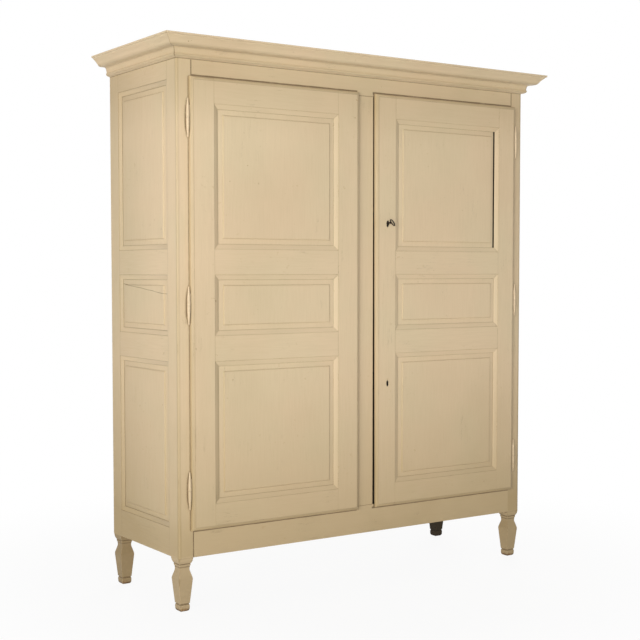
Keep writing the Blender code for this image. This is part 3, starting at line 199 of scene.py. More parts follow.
def grain_vector(finish, along, across_where=None, across=None):
    """Places squeezed along the member, so that noise on them runs as long strokes."""
    strokes = finish.vector("MULTIPLY", finish.place, STRETCH[along])
    if across_where is not None:
        turned = finish.vector("MULTIPLY", finish.place, STRETCH[across])
        strokes = finish.between(across_where, strokes, turned)
    return strokes


def wood_layers(finish, strokes, pale, brown):
    """Grain of planed softwood: broad rings, fine pores and their relief."""
    rings = finish.cloud(22.0, 3.0, strokes, 0.55, 0.6)
    bands = finish.maths("SINE", finish.times(rings, 46.0))
    colour = finish.mix(finish.fade(bands, -0.8, 1.0, 0.0, 0.8), pale, brown)
    pores = finish.cloud(520.0, 2.0, strokes, 0.6)
    colour = finish.mix(finish.fade(pores, 0.56, 0.72, 0.0, 0.45), colour, GRIME_AND_SHADE)
    return colour, finish.times(pores, PORE_DEPTH)


PAINT_GLOSS = 0.28
PAINT_ROUNDING, WORN_ARRIS = 0.0011, 0.0022
SEAM_REACH, CREASE_REACH = 0.0030, 0.006
LUMPS, BRUSH_RIDGES, FINE_RIDGES = 0.00030, 0.00022, 0.00008
CRACK_DEPTH, PAINT_THICKNESS = 0.00025, 0.00030


def soil_and_painted_shade(finish, grime):
    """Soil in broad clouds, and darker towards the floor, grime and painted shade together, with a
    painted shadow below the cornice.
    """
    uneven = finish.fade(finish.cloud(1.4, 4.0, rough=0.55), 0.42, 0.72, grime, grime + 0.16)
    low_down = finish.fade(finish.z, 1.00, 0.02, 0.0, 0.72)
    high_up = finish.fade(finish.z, 1.66, 1.88, 0.0, 0.30)
    below_cornice = finish.fade(finish.z, 1.945, 1.925)
    return finish.sum(uneven, low_down, finish.times(high_up, below_cornice))


def brown_stains(finish):
    """Small stains, in the places that are handled."""
    spots = finish.fade(finish.cloud(62.0, 5.0, rough=0.62), 0.61, 0.70)
    handled = finish.fade(finish.cloud(4.5, 2.0), 0.50, 0.62)
    return finish.times(spots, handled, 0.30)


def corner_dirt_and_shade(finish, crease, crease_dirt_and_shade, marks):
    """Dirt and painted shade in seams and creases, and the member's own dark lines (some of them painted
    shadow lines), broken up here and there.
    """
    seam = finish.fade(finish.hollows(SEAM_REACH), 0.06, 0.24, 0.0, 0.70 * crease_dirt_and_shade)
    dirt_and_shade = finish.most(seam, finish.fade(crease, 0.14, 0.60, 0.0, crease_dirt_and_shade))
    if marks:
        broken = finish.fade(finish.cloud(26.0, 4.0, rough=0.6), 0.30, 0.52, 0.75, 1.0)
        dirt_and_shade = finish.least(finish.most(dirt_and_shade, finish.times(marks(finish), broken)), 1.0)
    return dirt_and_shade


def hair_cracks(finish, strokes):
    """Cracks in the paint along the grain, in a few places."""
    cracks = finish.line(finish.cloud(60.0, 4.0, strokes, 0.55), 0.5, 0.0035)
    return finish.times(cracks, finish.fade(finish.cloud(7.0, 2.0), 0.60, 0.65))


def lost_paint(finish, rubbed, ragged, wear):
    """Paint gone from the arrises in patches, and knocked off in spots."""
    patches = finish.fade(finish.cloud(9.0, 3.0), 0.38, 0.66)
    gone = finish.fade(finish.times(rubbed, patches, ragged), 0.44, 0.51, 0.0, wear)
    knocks = finish.fade(finish.cloud(34.0, 5.0, rough=0.7), 0.700, 0.712)
    knocked = finish.times(knocks, finish.fade(finish.cloud(2.7, 2.0), 0.56, 0.64), 0.9)
    return finish.most(gone, knocked)


def aged_paint(
    name, along, across_where=None, across=None, wear=1.0, grime=0.0, crease_dirt_and_shade=0.62,
    soiled_and_shaded=None, painted_light=None, marks=None, chips=None, bare=None, black=None,
):
    """Cream paint on a member whose grain runs along one axis, and along another in some places.

    wear is how much paint is gone from the arrises, grime the soiling all over, crease_dirt_and_shade
    the grime and painted shade in corners. The rest are functions for what only this member has: places
    darker with grime and painted shade, places painted lighter as painted light, dark lines (some of
    them painted shadow lines), chips, places never painted (and their wood), and places painted black:
    painted shade in gaps and holes, and the dark wood of the rear right foot.
    """
    finish = Finish(name)
    turned = across_where(finish) if across_where else None
    strokes = grain_vector(finish, along, turned, across)

    tone = finish.fade(finish.cloud(3.4, 2.0), 0.34, 0.70, 0.0, 0.7)
    colour = finish.mix(tone, PAINT_CREAM, PAINT_GREENISH)
    # Faces that look down may be painted lighter: painted light where shade falls.
    if painted_light:
        colour = finish.mix(painted_light(finish), colour, PAINT_LIT_SOFFIT)
    # Darker towards the floor, below the cornice and in the member's own places: grime and painted shade
    # together.
    soil_and_shade = soil_and_painted_shade(finish, grime)
    if soiled_and_shaded:
        soil_and_shade = finish.sum(soil_and_shade, soiled_and_shaded(finish))
    colour = finish.mix(finish.least(soil_and_shade, 1.0), colour, PAINT_GRIMY_AND_SHADED)
    brush = finish.cloud(230.0, 3.0, strokes, 0.6)
    colour = finish.mix(finish.fade(brush, 0.36, 0.70, 0.0, 0.07), colour, PAINT_GRIMY_AND_SHADED)
    colour = finish.mix(brown_stains(finish), colour, UNDERCOAT)

    # Seams and creases are darkened by how hidden they are: grime and painted shade together.
    crease = finish.hollows(CREASE_REACH)
    colour = finish.mix(corner_dirt_and_shade(finish, crease, crease_dirt_and_shade, marks), colour, GRIME_AND_SHADE)
    cracks = hair_cracks(finish, strokes)
    colour = finish.mix(finish.times(cracks, 0.40), colour, GRIME_AND_SHADE)

    # The arrises are darkened, painted shade that dims their highlights along with handling grime, and
    # lose paint in patches.
    edge = finish.outer_edges(WORN_ARRIS)
    rubbed = finish.times(finish.fade(edge, 0.015, 0.12), finish.fade(crease, 0.45, 0.20))
    colour = finish.mix(finish.times(rubbed, 0.75), colour, PAINT_RUBBED_AND_SHADED)
    ragged = finish.cloud(150.0, 4.0, rough=0.65)
    gone = lost_paint(finish, rubbed, ragged, wear)
    if chips:
        gone = finish.most(gone, chips(finish, ragged))
    wood, _ = wood_layers(finish, strokes, WOOD_UNDER, UNDERCOAT)
    colour = finish.mix(gone, colour, wood)

    film = finish.sum(
        finish.times(finish.cloud(38.0, 2.0), LUMPS),
        finish.times(brush, BRUSH_RIDGES),
        finish.times(finish.cloud(330.0, 3.0, strokes, 0.6), FINE_RIDGES),
        finish.times(cracks, -CRACK_DEPTH),
        finish.times(gone, -PAINT_THICKNESS),
    )
    rough = finish.fade(brush, 0.3, 0.7, 0.46, 0.60)
    rough = finish.maths("ADD", rough, finish.times(gone, 0.25), clamp=True)

    if bare:
        unpainted, pale, brown = bare(finish)
        raw, raw_height = wood_layers(finish, strokes, pale, brown)
        colour = finish.mix(unpainted, colour, raw)
        rough = finish.fade(unpainted, 0.0, 1.0, rough, 0.80)
        film = finish.fade(unpainted, 0.0, 1.0, film, raw_height)
    # Painted black: painted shade in gaps, keyholes and the groove, and the dark wood of the rear right
    # foot.
    if black:
        shade_and_wood_black = black(finish)
        colour = finish.mix(shade_and_wood_black, colour, BLACK_SHADE_AND_WOOD)
        rough = finish.fade(shade_and_wood_black, 0.0, 1.0, rough, 0.85)
    finish.shader.inputs["Specular IOR Level"].default_value = PAINT_GLOSS
    finish.lay(colour, rough, film, PAINT_ROUNDING)
    return finish.material


SAME_CORNER = 0.00001
SHARP_TURN = math.radians(33)


def smoothing_group():
    """Joins the loose triangles of a carried-over solid and smooths its curved faces, edges kept."""
    group = bpy.data.node_groups.new("smooth_curved_faces", "GeometryNodeTree")
    group.interface.new_socket("Geometry", in_out="INPUT", socket_type="NodeSocketGeometry")
    group.interface.new_socket("Geometry", in_out="OUTPUT", socket_type="NodeSocketGeometry")
    start = group.nodes.new("NodeGroupInput")
    joined = group.nodes.new("GeometryNodeMergeByDistance")
    joined.inputs["Distance"].default_value = SAME_CORNER
    turn = group.nodes.new("GeometryNodeInputMeshEdgeAngle")
    sharp = group.nodes.new("FunctionNodeCompare")
    sharp.data_type = "FLOAT"
    sharp.operation = "GREATER_THAN"
    sharp.inputs[1].default_value = SHARP_TURN
    shaded = group.nodes.new("GeometryNodeSetMeshNormal")
    shaded.mode = "SHARPNESS"
    shaded.inputs["Remove Custom"].default_value = True
    shaded.inputs["Face Sharpness"].default_value = False
    end = group.nodes.new("NodeGroupOutput")
    group.links.new(start.outputs[0], joined.inputs["Geometry"])
    group.links.new(turn.outputs["Unsigned Angle"], sharp.inputs[0])
    group.links.new(joined.outputs[0], shaded.inputs["Mesh"])
    group.links.new(sharp.outputs[0], shaded.inputs["Edge Sharpness"])
    group.links.new(shaded.outputs[0], end.inputs[0])
    return group


SMOOTHING = smoothing_group()


def dress(names, material):
    """Give carried-over solids their finish and smooth shading."""
    for name in names:
        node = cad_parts[name]
        for slot in node.material_slots:
            slot.material = material
        node.modifiers.new("smooth_curved_faces", "NODES").node_group = SMOOTHING
        weighted = node.modifiers.new("flat_faces_stay_flat", "WEIGHTED_NORMAL")
        weighted.keep_sharp = True


POST_FACE = 0.070
POST_WIDTH = 0.058
FOOT_TOP = 0.192
SECOND_RING = 0.1588
TOE_TOP = 0.024
SOLE_TOP = 0.016
DOORWAY_LOW, DOORWAY_HIGH = 0.298, 1.858
LIP_OVERLAP = 0.011
HINGE_LINE_INSIDE, HINGE_LINE_OUTSIDE = 0.7540, 0.7760
CORNICE_FOOT = 1.928
SIDE_LOW, SIDE_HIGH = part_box("left_side_frame")
FRONT_JOINT = SIDE_LOW.y + POST_FACE
REAR_JOINT = SIDE_HIGH.y - POST_FACE
RAIL_END = -SIDE_LOW.x - POST_WIDTH
CRACK_HALF_WIDTH = 0.0019


def between_posts(finish):
    return finish.within(finish.y, FRONT_JOINT, REAR_JOINT)


def at_the_front(finish):
    return finish.fade(finish.y, -0.200, -0.205)


def at_the_rear_feet(finish):
    low = finish.fade(finish.z, FOOT_TOP + 0.002, FOOT_TOP - 0.004)
    return finish.times(finish.fade(finish.y, 0.10, 0.12), low)


def faces_back(finish):
    return finish.fade(finish.facing_y, 0.45, 0.55)


def faces_inside(finish):
    """One on the faces that look into the wardrobe, on either side."""
    outward = finish.times(finish.facing_x, finish.maths("SIGN", finish.x))
    return finish.fade(outward, -0.45, -0.55)


def grime_and_shade_to_the_back(finish):
    """Darker towards the wall as painted shade, on the front corner as painted shade that dims its
    highlight, and on the low rail, and most on the rear feet.
    """
    back = finish.fade(finish.y, -0.16, 0.36, 0.0, 0.36)
    rear_foot = finish.times(finish.fade(finish.y, 0.10, 0.20), finish.fade(finish.z, 0.20, 0.17), 0.35)
    in_from_side = finish.less(-SIDE_LOW.x - SIDE_LOW.y, finish.off_centre())
    in_from_corner = finish.sum(in_from_side, finish.y)
    corner = finish.fade(in_from_corner, 0.013, 0.005, 0.0, 0.42)
    above_feet = finish.fade(finish.z, FOOT_TOP, FOOT_TOP + 0.008)
    low_rail = finish.times(finish.fade(finish.z, 0.36, 0.24, 0.0, 0.18), above_feet)
    return finish.sum(back, rear_foot, corner, low_rail)


def joint_cracks_and_cornice_shadow(finish):
    """Open joints where the front rails meet the corner posts, and a painted shadow line along the
    cornice's foot.
    """
    along = finish.sum(finish.off_centre(), finish.wander(60.0, 0.0010))
    crack = finish.within(along, RAIL_END - CRACK_HALF_WIDTH, RAIL_END + CRACK_HALF_WIDTH, 0.0010)
    above_doors = finish.fade(finish.z, DOORWAY_HIGH, DOORWAY_HIGH + 0.004)
    below_cornice = finish.fade(finish.z, CORNICE_FOOT + 0.002, CORNICE_FOOT - 0.004)
    top = finish.times(above_doors, below_cornice)
    left_half = finish.fade(finish.x, 0.01, -0.01)
    bottom_left = finish.times(finish.fade(finish.z, DOORWAY_LOW, DOORWAY_LOW - 0.004), left_half)
    crack = finish.times(crack, finish.most(top, bottom_left), at_the_front(finish))
    shadow_under_cornice = finish.times(finish.line(finish.z, CORNICE_FOOT - 0.0004, 0.0024), 0.75)
    return finish.most(crack, shadow_under_cornice)


def dirt_and_shade_by_the_hinges(finish):
    """Grime and painted shade in the corner between the post and the door's edge, and round the hinges
    there.
    """
    by_edge = finish.within(finish.off_centre(), HINGE_LINE_INSIDE, HINGE_LINE_OUTSIDE)
    up_the_door = finish.within(finish.z, DOORWAY_LOW - LIP_OVERLAP, DOORWAY_HIGH + LIP_OVERLAP)
    corner = finish.fade(finish.hollows(0.011), 0.18, 0.50, 0.0, 0.75)
    return finish.times(corner, by_edge, up_the_door, at_the_front(finish))


def foot_dirt_and_shade(finish):
    """Painted shade in the grooves, a dark painted line for the shade of a second ring, grime and
    painted shade on the soles, and the feet darker all over, the rear ones darker still.
    """
    grooves = finish.fade(finish.hollows(0.012), 0.05, 0.26)
    grooves = finish.times(grooves, finish.fade(finish.z, FOOT_TOP, FOOT_TOP - 0.007))
    ring = finish.times(finish.line(finish.z, SECOND_RING, 0.0032), 0.85)
    soles = finish.fade(finish.z, SOLE_TOP, 0.003, 0.0, 0.75)
    feet = finish.fade(finish.z, FOOT_TOP + 0.004, FOOT_TOP - 0.032, 0.0, 0.20)
    rear = finish.times(at_the_rear_feet(finish), 0.38)
    return finish.most(grooves, ring, soles, feet, rear)


def black_rear_foot(finish):
    """The rear right foot is nearly black where it faces in and to the front."""
    return finish.times(at_the_rear_feet(finish), finish.fade(finish.facing_x, 0.60, 0.50), 0.89)


def side_frame_marks(finish):
    """Hairlines where the side rails shoulder the posts, the front joints, and grime and painted shade
    on the feet and by the hinges.
    """
    depth = finish.sum(finish.y, finish.wander(60.0, 0.0012))
    shoulders = finish.most(*[finish.line(depth, joint, 0.0009) for joint in (FRONT_JOINT, REAR_JOINT)])
    open_here = finish.fade(finish.cloud(5.0, 2.0), 0.40, 0.60, 0.0, 0.45)
    above_feet = finish.fade(finish.z, FOOT_TOP, FOOT_TOP + 0.002)
    shoulders = finish.times(shoulders, open_here, above_feet)
    return finish.most(
        shoulders, foot_dirt_and_shade(finish), dirt_and_shade_by_the_hinges(finish), joint_cracks_and_cornice_shadow(finish)
    )


def worn_toes(finish, ragged):
    """Paint knocked off the toes, most of all at the floor, and off the feet's corners."""
    broken = finish.fade(finish.cloud(70.0, 4.0, rough=0.6), 0.50, 0.58)
    broken = finish.maths("ADD", broken, finish.fade(finish.z, 0.005, 0.001), clamp=True)
    toes = finish.times(finish.fade(finish.z, TOE_TOP, 0.001), broken)
    on_foot = finish.fade(finish.z, FOOT_TOP - 0.007, FOOT_TOP - 0.032)
    corner = finish.times(finish.fade(finish.outer_edges(0.0030), 0.03, 0.20), on_foot)
    return finish.most(toes, finish.fade(finish.times(corner, ragged), 0.50, 0.56))


def unpainted_frame(finish):
    """The side frames are bare on their inner faces above the feet, and at the back."""
    inner = finish.times(faces_inside(finish), finish.fade(finish.z, FOOT_TOP, FOOT_TOP + 0.003))
    return finish.most(inner, faces_back(finish)), WOOD_PALE, WOOD_BROWN


left_frame_paint = aged_paint(
    "paint_left_frame", "z", between_posts, "y", soiled_and_shaded=grime_and_shade_to_the_back, marks=side_frame_marks,
    chips=worn_toes, bare=unpainted_frame,
)
right_frame_paint = aged_paint(
    "paint_right_frame", "z", between_posts, "y", grime=0.10, soiled_and_shaded=grime_and_shade_to_the_back,
    marks=side_frame_marks, chips=worn_toes, bare=unpainted_frame, black=black_rear_foot,
)
dress(["left_side_frame"], left_frame_paint)
dress(["right_side_frame"], right_frame_paint)


# Side panels
# Three thin panels to a side, of one wide board each, tongued into the frame's grooves and free to
# shrink. The left middle panel has split on a slant across its whole width.

SPLIT_START, SPLIT_HEIGHT, SPLIT_SLOPE = -0.156, 1.116, 0.095


def split_panel(finish):
    """The slanting split in the left middle panel."""
    climb = finish.times(finish.less(finish.y, SPLIT_START), SPLIT_SLOPE)
    height = finish.sum(finish.less(finish.z, climb), finish.wander(14.0, 0.006, 4.0))
    return finish.times(finish.line(height, SPLIT_HEIGHT, 0.0016), 0.85)


def grime_and_shade_side_panels(finish):
    """Darker to the back like their frames, and painted shade on the forward-facing step of the field
    that dims its highlight.
    """
    step = finish.fade(finish.facing_y, -0.12, -0.30)
    step = finish.times(step, finish.fade(finish.facing_y, -0.97, -0.90), 0.40)
    return finish.sum(grime_and_shade_to_the_back(finish), step)


def inner_faces(finish):
    return faces_inside(finish), WOOD_PALE, WOOD_BROWN


side_panel_paint = aged_paint(
    "paint_side_panels", "z", wear=0.6, soiled_and_shaded=grime_and_shade_side_panels, bare=inner_faces
)
split_panel_paint = aged_paint(
    "paint_split_panel", "z", wear=0.6, soiled_and_shaded=grime_and_shade_side_panels, marks=split_panel, bare=inner_faces
)
dress(
    ["left_side_upper_panel", "left_side_lower_panel", "right_side_upper_panel",
     "right_side_middle_panel", "right_side_lower_panel"],
    side_panel_paint,
)
dress(["left_side_middle_panel"], split_panel_paint)


# Front rails and centre post
# A rail above and below the doors, tenoned into the corner posts, and a fixed post between the doors.
# The paint has opened along the shoulders, a painted shadow line runs along the doors' top and bottom
# edges, and the edges that the doors hide are bare, the post's painted black as painted shade in the
# gaps.

DOOR_LOW, DOOR_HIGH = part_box("left_door_hinge_stile")
MEETING_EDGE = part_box("left_door_meeting_stile")[1].x
POST_LOW, POST_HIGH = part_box("centre_post")
LINE_ABOVE_DOORS, LINE_BELOW_DOORS, LINE_BEHIND_DOORS = 0.0070, 0.0052, 0.002


def post_end_lines(finish):
    """The joints at the ends of the centre post."""
    ends = finish.most(
        finish.line(finish.z, DOORWAY_HIGH, 0.0022), finish.line(finish.z, DOORWAY_LOW, 0.0018)
    )
    return finish.times(ends, 0.8)


def rail_marks(finish):
    """The open joints, and a painted shadow line along the top and bottom edges of the doors."""
    height = finish.sum(finish.z, finish.wander(18.0, 0.0022))
    over = finish.within(
        height, DOOR_HIGH.z - LINE_BEHIND_DOORS, DOOR_HIGH.z + LINE_ABOVE_DOORS, 0.0009
    )
    beneath = finish.within(
        height, DOOR_LOW.z - LINE_BELOW_DOORS, DOOR_LOW.z + LINE_BEHIND_DOORS, 0.0010
    )
    door_range = finish.within(finish.off_centre(), -MEETING_EDGE, -DOOR_LOW.x, 0.001)
    # Painted shadow lines along the doors' top and bottom edges.
    doors = finish.times(finish.most(over, beneath), door_range, 0.78)
    at_post = finish.within(finish.x, POST_LOW.x, POST_HIGH.x)
    post_ends = finish.times(post_end_lines(finish), at_post)
    return finish.most(doors, post_ends, joint_cracks_and_cornice_shadow(finish))


def hidden_rail_faces(finish):
    """Bare where the doors close over them and inside."""
    edge = finish.fade(finish.maths("ABSOLUTE", finish.facing_z), 0.5, 0.6)
    by_doorway = finish.within(finish.z, DOORWAY_LOW - 0.003, DOORWAY_HIGH + 0.003)
    return finish.most(faces_back(finish), finish.times(edge, by_doorway)), WOOD_BROWN, WOOD_UNDER


def bare_back(finish):
    return faces_back(finish), WOOD_PALE, WOOD_BROWN


def post_edge_shade(finish):
    """The post's edges, which the doors' lips hide, are painted nearly black: painted shade in the gaps.
    """
    return finish.fade(finish.maths("ABSOLUTE", finish.facing_x), 0.55, 0.75)


rail_paint = aged_paint(
    "paint_front_rails", "x", wear=0.7, grime=0.06, marks=rail_marks, bare=hidden_rail_faces
)
post_paint = aged_paint(
    "paint_centre_post", "z", grime=0.07, marks=post_end_lines, bare=bare_back, black=post_edge_shade
)
dress(["front_top_rail", "front_bottom_rail"], rail_paint)
dress(["centre_post"], post_paint)


# Cornice
# Three lengths of moulding, mitred at the front corners and planted on the carcass head. The mitres
# have opened, the ogee is darker, and the faces under the steps are painted lighter, painted light where
# shade falls.

MITRE = SIDE_LOW.y - SIDE_LOW.x
OGEE_LOW, OGEE_HIGH = CORNICE_FOOT + 0.006, CORNICE_FOOT + 0.042


def open_mitre(finish):
    """A ragged dark line down each front corner of the cornice."""
    off = finish.sum(finish.off_centre(), finish.y, finish.wander(90.0, 0.0016))
    low = finish.within(finish.z, CORNICE_FOOT + 0.004, CORNICE_FOOT + 0.034, 0.004)
    return finish.times(finish.line(off, MITRE, 0.0036), low)


def darker_ogee(finish):
    """The swelling of the moulding is darker than the rest."""
    return finish.times(finish.within(finish.z, OGEE_LOW, OGEE_HIGH, 0.004), 0.27)


def lit_soffits(finish):
    """Faces that look down are painted lighter: painted light where shade falls."""
    return finish.fade(finish.facing_z, -0.84, -0.98)


def cornice_paint(name, along):
    return aged_paint(
        name, along, wear=0.6, crease_dirt_and_shade=0.04, soiled_and_shaded=darker_ogee, painted_light=lit_soffits,
        marks=open_mitre,
    )


dress(["cornice_front"], cornice_paint("paint_cornice_front", "x"))
dress(["cornice_left", "cornice_right"], cornice_paint("paint_cornice_sides", "y"))


# Doors
# Stiles and rails mortised and tenoned, their inner edges stuck with a moulding and mitred, their outer
# edges lipped over the frame with a rounded thumbnail. Fielded panels stand free in the grooves. The
# backs were never painted; the meeting edge, the keyholes and the open groove are painted black as
# painted shade, and the lips and the fields' steps carry painted shading.

DOOR_BACK = DOOR_HIGH.y
FRAME_FACE = SIDE_LOW.y
LEFT_DOOR_EDGE, RIGHT_DOOR_EDGE = 0.036, 0.0432
LIP_WIDTH, LIP_LINE = 0.013, 0.0118
STILE_MOULDING = 0.034
DOOR_CREASE_DIRT_AND_SHADE, DOOR_RAIL_CREASE_DIRT_AND_SHADE = 0.42, 0.32
GROOVE_FRONT, GROOVE_BACK = DOOR_LOW.y + 0.0082, DOOR_LOW.y + 0.0176
GROOVE_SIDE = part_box("right_door_hinge_stile")[1].x - 0.060
SHRUNK_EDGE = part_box("right_door_upper_panel")[1].x
KEYHOLE_X, KEYHOLE_HEIGHTS = 0.096, (1.382, 0.769)
KEYHOLE_BELOW, KEYHOLE_ABOVE, KEYHOLE_BESIDE = 0.022, 0.012, 0.009
# middle, half width and half height of the black round each keyhole, painted shade
KEYHOLE_BLACK = ((1.3790, 0.0068, 0.0130), (0.7655, 0.0056, 0.0122))


def lip_distance(finish):
    """How far in from the outline of its door the place is."""
    across = finish.off_centre()
    meeting_edge = finish.fade(finish.x, -0.01, 0.01, LEFT_DOOR_EDGE, RIGHT_DOOR_EDGE)
    return finish.least(
        finish.less(-DOOR_LOW.x, across), finish.less(across, meeting_edge),
        finish.less(DOOR_HIGH.z, finish.z), finish.less(finish.z, DOOR_LOW.z),
    )


def painted_lip_shading(finish):
    """Painted shading on the lips: darker where they face left towards the light, lighter where they
    face right.
    """
    on_lip = finish.fade(lip_distance(finish), LIP_WIDTH, 0.008)
    facing_left = finish.fade(finish.facing_x, -0.15, -0.55, 0.28, 0.56)
    facing_right = finish.fade(finish.facing_x, 0.15, 0.55, 0.0, -0.24)
    return finish.times(on_lip, finish.sum(facing_left, facing_right))


def left_door_painted_shading(finish):
    """On the left door's stiles, painted shade on the moulding that turns from the window, with the
    lips' painted shading.
    """
    moulding = finish.fade(lip_distance(finish), STILE_MOULDING - 0.004, STILE_MOULDING)
    turned = finish.fade(finish.facing_x, 0.15, 0.45, 0.0, 0.34)
    return finish.sum(painted_lip_shading(finish), finish.times(moulding, turned))


def lip_quirk_shade_line(finish):
    """A thin dark line where the lip's rounding starts, painted shade standing in for a quirk."""
    front = finish.fade(finish.y, DOOR_LOW.y + 0.004, DOOR_LOW.y + 0.002)
    return finish.times(finish.line(lip_distance(finish), LIP_LINE, 0.0018), front, 0.26)


def keyhole_shade_rings(finish):
    """Round each keyhole a black ring is painted, painted shade that widens the keyhole's dark opening.
    """
    ragged = finish.wander(210.0, 0.9)
    rings = []
    for middle, half_width, half_height in KEYHOLE_BLACK:
        across = finish.maths("DIVIDE", finish.less(finish.x, KEYHOLE_X), half_width)
        up = finish.maths("DIVIDE", finish.less(finish.z, middle), half_height)
        reach = finish.maths("SQRT", finish.sum(finish.times(across, across), finish.times(up, up)))
        rings.append(finish.fade(finish.sum(reach, ragged), 1.12, 0.80))
    return finish.most(*rings)


def painted_meeting_gap_shade(finish):
    """The edge that closes past the centre post is painted black, and so are the keyholes' walls:
    painted shade in the gap and the holes.
    """
    faces_post = finish.fade(finish.facing_x, -0.4, -0.6)
    behind_lip = finish.fade(finish.y, FRAME_FACE - 0.0012, FRAME_FACE - 0.0006)
    lip_back = finish.within(finish.y, FRAME_FACE - 0.0014, FRAME_FACE)
    arris = finish.fade(finish.y, DOOR_LOW.y + 0.0130, DOOR_LOW.y + 0.0155)
    heights = [
        finish.within(finish.z, height - KEYHOLE_BELOW, height + KEYHOLE_ABOVE)
        for height in KEYHOLE_HEIGHTS
    ]
    beside = finish.within(finish.x, KEYHOLE_X - KEYHOLE_BESIDE, KEYHOLE_X + KEYHOLE_BESIDE)
    walls = finish.fade(finish.maths("ABSOLUTE", finish.facing_y), 0.75, 0.55)
    return finish.most(
        finish.times(behind_lip, faces_post),
        finish.times(lip_back, finish.fade(finish.facing_y, 0.4, 0.6)),
        finish.times(arris, faces_post),
        finish.times(beside, finish.most(*heights), walls),
        keyhole_shade_rings(finish),
    )


def painted_groove_shade(finish):
    """The groove beside the shrunk panel is painted black, painted shade that shows it as a dark slot.
    """
    deep = finish.within(finish.y, GROOVE_FRONT, GROOVE_BACK)
    return finish.times(deep, finish.fade(finish.x, GROOVE_SIDE + 0.004, GROOVE_SIDE))


def shrunk_edge(finish):
    """The tongue of the shrunk panel, pulled out of its groove, is bare and painted black: painted shade
    in the slot.
    """
    return finish.fade(finish.x, SHRUNK_EDGE - 0.0061, SHRUNK_EDGE - 0.0041, 0.0, 0.92)


def painted_step_shade(finish):
    """Painted shade on the step round each field, on the side that faces the light, dimming its
    highlight.
    """
    return finish.fade(finish.facing_x, -0.12, -0.30, 0.0, 0.50)


def door_backs(finish):
    return finish.fade(finish.y, DOOR_BACK - 0.0012, DOOR_BACK - 0.0006), WOOD_PALE, WOOD_BROWN


def door_frame_paint(name, along, crease_dirt_and_shade=DOOR_CREASE_DIRT_AND_SHADE, soiled_and_shaded=painted_lip_shading, black=None):
    return aged_paint(
        name, along, crease_dirt_and_shade=crease_dirt_and_shade, soiled_and_shaded=soiled_and_shaded, marks=lip_quirk_shade_line, bare=door_backs, black=black
    )


def door_panel_paint(name, black=None):
    return aged_paint(
        name, "z", wear=0.6, crease_dirt_and_shade=DOOR_CREASE_DIRT_AND_SHADE, soiled_and_shaded=painted_step_shade, bare=bare_back, black=black
    )


stile_paint = door_frame_paint("paint_door_stiles", "z", soiled_and_shaded=left_door_painted_shading)
meeting_paint = door_frame_paint("paint_right_meeting_stile", "z", black=painted_meeting_gap_shade)
hinge_stile_paint = door_frame_paint("paint_right_hinge_stile", "z", black=painted_groove_shade)
door_rail_paint = door_frame_paint("paint_door_rails", "x", DOOR_RAIL_CREASE_DIRT_AND_SHADE)
panel_paint = door_panel_paint("paint_door_panels")
shrunk_panel_paint = door_panel_paint("paint_shrunk_panel", shrunk_edge)
dress(["left_door_hinge_stile", "left_door_meeting_stile"], stile_paint)
dress(["right_door_meeting_stile"], meeting_paint)
dress(["right_door_hinge_stile"], hinge_stile_paint)
for side in ("left", "right"):
    for place in ("top", "upper_middle", "lower_middle", "bottom"):
        dress([f"{side}_door_{place}_rail"], door_rail_paint)
    for place in ("middle", "lower"):
        dress([f"{side}_door_{place}_panel"], panel_paint)
dress(["left_door_upper_panel"], panel_paint)
dress(["right_door_upper_panel"], shrunk_panel_paint)


# Hinges
# Slim turned iron spindles in two halves, let in at the edge of the frame and of the door. They were
# painted over with the rest, and the paint has worn off where the halves turn on each other.

HINGE_RUST, HINGE_BROWN = (0.050, 0.030, 0.020, 1.0), (0.120, 0.062, 0.030, 1.0)
IRON_ARRIS = 0.0008
IRON_ROUNDING = 0.0005


def painted_iron(name):
    """Cream paint on iron, worn through to the metal on the edges and at the joint."""
    finish = Finish(name)
    brush = finish.cloud(140.0, 3.0)
    colour = finish.mix(finish.fade(brush, 0.4, 0.7, 0.16, 0.40), PAINT_CREAM, PAINT_GRIMY_AND_SHADED)
    # Darker towards the floor: grime and painted shade.
    colour = finish.mix(finish.fade(finish.z, 1.00, 0.02, 0.0, 0.60), colour, PAINT_GRIMY_AND_SHADED)
    # Grime and painted shade in the hollows.
    dirt_and_shade = finish.fade(finish.hollows(0.004), 0.25, 0.75, 0.0, 0.6)
    colour = finish.mix(dirt_and_shade, colour, GRIME_AND_SHADE)
    edge = finish.fade(finish.outer_edges(IRON_ARRIS), 0.03, 0.3)
    broken = finish.cloud(420.0, 4.0, rough=0.65)
    worn = finish.fade(finish.times(edge, broken), 0.46, 0.56)
    worn = finish.most(worn, finish.fade(broken, 0.69, 0.73))
    colour = finish.mix(worn, colour, finish.mix(finish.cloud(300.0, 3.0), HINGE_RUST, HINGE_BROWN))
    rough = finish.fade(worn, 0.0, 1.0, 0.48, 0.70)
    height = finish.less(finish.times(brush, 0.00015), finish.times(worn, 0.00012))
    finish.lay(colour, rough, height, IRON_ROUNDING, finish.times(worn, 0.6))
    return finish.material


hinge_paint = painted_iron("painted_hinge_iron")
for side in ("left", "right"):
    for place in ("lower", "middle", "upper"):
        dress([f"{side}_{place}_hinge_frame_half", f"{side}_{place}_hinge_door_half"], hinge_paint)


# Locks and key
# A sheet iron rim lock behind each keyhole, screwed to the back of the right door, with a bolt that
# shoots into the centre post. The key stands in the upper one. All of it is dark, lightly rusted iron.

IRON_BLACK, IRON_RUST = (0.016, 0.013, 0.011, 1.0), (0.050, 0.024, 0.012, 1.0)
IRON_POLISHED, IRON_GRIME = (0.085, 0.075, 0.064, 1.0), (0.02, 0.014, 0.01, 1.0)
IRON_GLOSS = 0.30


